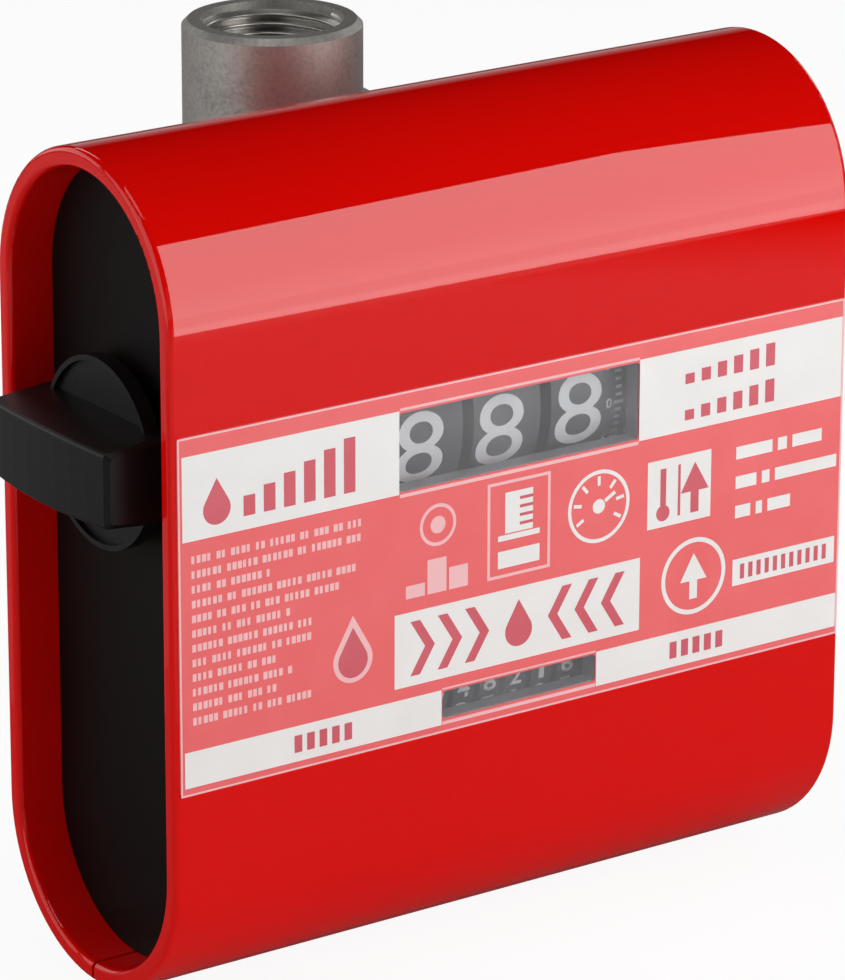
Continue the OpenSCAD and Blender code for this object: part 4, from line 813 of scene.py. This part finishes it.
choice = add_node(paper, "ShaderNodeMixShader", {0: ray.outputs["Is Camera Ray"],
                  1: unseen.outputs["Shader"], 2: seen.outputs["Shader"]})
add_node(paper, "ShaderNodeOutputMaterial", {"Surface": choice.outputs["Shader"]})
floor.data.materials.append(paper)

# Cards: a black and a grey one lie on the floor in front of the case and under it. Only polished
# faces see them: they are painted shade in the reflections, darker than the floor there, and keep the
# red below the pale band in the enamel deep.
BOX_TURN = 25
CARD_GAP = 0.3 * MM
black_card = new_material("black_card", Roughness=1.0, Specular_IOR_Level=0.0)
place = add_node(black_card, "ShaderNodeTexCoord")
split = add_node(black_card, "ShaderNodeSeparateXYZ", {"Vector": place.outputs["Object"]})
# Painted shade on the black card: black on the side of the front softbox, fading to the floor's
# mirrored grey towards the case.
fade = add_node(black_card, "ShaderNodeMapRange", {"Value": split.outputs["Y"], "From Min": -0.1,
                "From Max": 0.5, "To Min": 0.004, "To Max": FLOOR_MIRRORED})
join(black_card, fade.outputs["Result"], "Base Color")
grey_card = new_material("grey_card", Base_Color="#828282", Roughness=1.0, Specular_IOR_Level=0.0)
for name, finish, spot, turn, size in (
        ("far_card", black_card, (0.35, -0.555), BOX_TURN, (1.6, 0.10)),
        ("near_card", grey_card, (0.35, -0.095), 0, (1.8, 0.39))):
    deselect()
    bpy.ops.mesh.primitive_plane_add(size=1, location=(*spot, CARD_GAP),
                                     rotation=(0, 0, math.radians(turn)))
    card = bpy.context.object
    card.name = name
    card.scale = (*size, 1)
    card.data.materials.append(finish)
    card.visible_camera = False
    card.visible_diffuse = False
    card.visible_shadow = False

# Sky: white to the camera and an even, weak fill on the object. Polished faces see it as bright as
# the floor at the horizon and dark overhead.
world = bpy.data.worlds.new("white_studio")
bpy.context.scene.world = world
world.use_nodes = True
world.node_tree.nodes.clear()
sky_place = add_node(world, "ShaderNodeTexCoord")
sky_split = add_node(world, "ShaderNodeSeparateXYZ", {"Vector": sky_place.outputs["Generated"]})
sky_dark = add_node(world, "ShaderNodeMapRange", {"Value": sky_split.outputs["Z"], "From Min": 0.0,
                    "From Max": 0.25, "To Min": FLOOR_MIRRORED, "To Max": 0.0})
sky_ray = add_node(world, "ShaderNodeLightPath")
sky_fill = add_node(world, "ShaderNodeMix", {"Factor": sky_ray.outputs["Is Glossy Ray"], "A": 0.18,
                    "B": sky_dark.outputs["Result"]})
sky_seen = add_node(world, "ShaderNodeMix", {"Factor": sky_ray.outputs["Is Camera Ray"],
                    "A": sky_fill.outputs["Result"], "B": 0.97})
sky = add_node(world, "ShaderNodeBackground", {"Color": (1, 1, 1, 1),
               "Strength": sky_seen.outputs["Result"]})
add_node(world, "ShaderNodeOutputWorld", {"Surface": sky.outputs["Background"]})


# Lamps: plain softboxes all round. The enamel mirrors the front one as a pale band, and the fill
# behind it lights the front evenly. The left one is for knob and rim, the top one for the ports, and
# the other three for the casting.
def softbox(name, place, turn, width, height, strength, lights=True, mirrored=True):
    """An area lamp at a place, turned by angles in degrees from facing straight down."""
    lamp = bpy.data.lights.new(name, "AREA")
    lamp.shape = "RECTANGLE"
    lamp.size = width
    lamp.size_y = height
    lamp.energy = strength * width * height * math.pi
    holder = bpy.data.objects.new(name, lamp)
    bpy.context.scene.collection.objects.link(holder)
    holder.location = place
    holder.rotation_euler = [math.radians(angle) for angle in turn]
    holder.visible_camera = False
    holder.visible_diffuse = lights
    holder.visible_glossy = mirrored


softbox("front_softbox", (0.35, -0.60, 0.42), (90, 0, BOX_TURN), 0.46, 0.76, 3.9, lights=False)
softbox("front_fill", (0.45, -1.0, 0.50), (66, 0, 26), 0.8, 0.8, 3.8, mirrored=False)
softbox("left_softbox", (-0.95, 0.05, 0.46), (90, 0, -90), 1.3, 0.9, 1.05)
softbox("top_softbox", (-0.24, -0.26, 1.15), (-15, 0, 0), 0.6, 0.6, 1.6)
softbox("back_softbox", (0.10, 0.68, 0.80), (-49, 0, 0), 0.24, 0.4, 2.0)
softbox("rear_softbox", (-0.55, 0.95, 0.50), (-70, 0, 30), 0.8, 0.6, 1.3)
softbox("right_softbox", (0.95, 0.20, 0.60), (0, 65, 12), 0.4, 0.30, 2.3)

# Camera: a long lens that looks down on the left front corner, as the picture was taken. Its place,
# aim, roll and focal length come from a fit to the case's edges.
EYE_PLACE = (-0.7033, -1.0653, 0.5200)
EYE_AIM = (-0.00233, -0.06418, 0.10153)
EYE_ROLL = 0.137
LENS = 209.09
camera = bpy.data.cameras.new("camera")
eye = bpy.data.objects.new("camera", camera)
bpy.context.scene.collection.objects.link(eye)
eye.location = EYE_PLACE
eye.rotation_euler = (Vector(EYE_AIM) - eye.location).to_track_quat("-Z", "Y").to_euler()
eye.rotation_euler.rotate_axis("Z", math.radians(EYE_ROLL))
camera.sensor_width = 36
camera.lens = LENS
camera.clip_end = 50
bpy.context.scene.camera = eye
bpy.context.scene.view_settings.view_transform = "Standard"
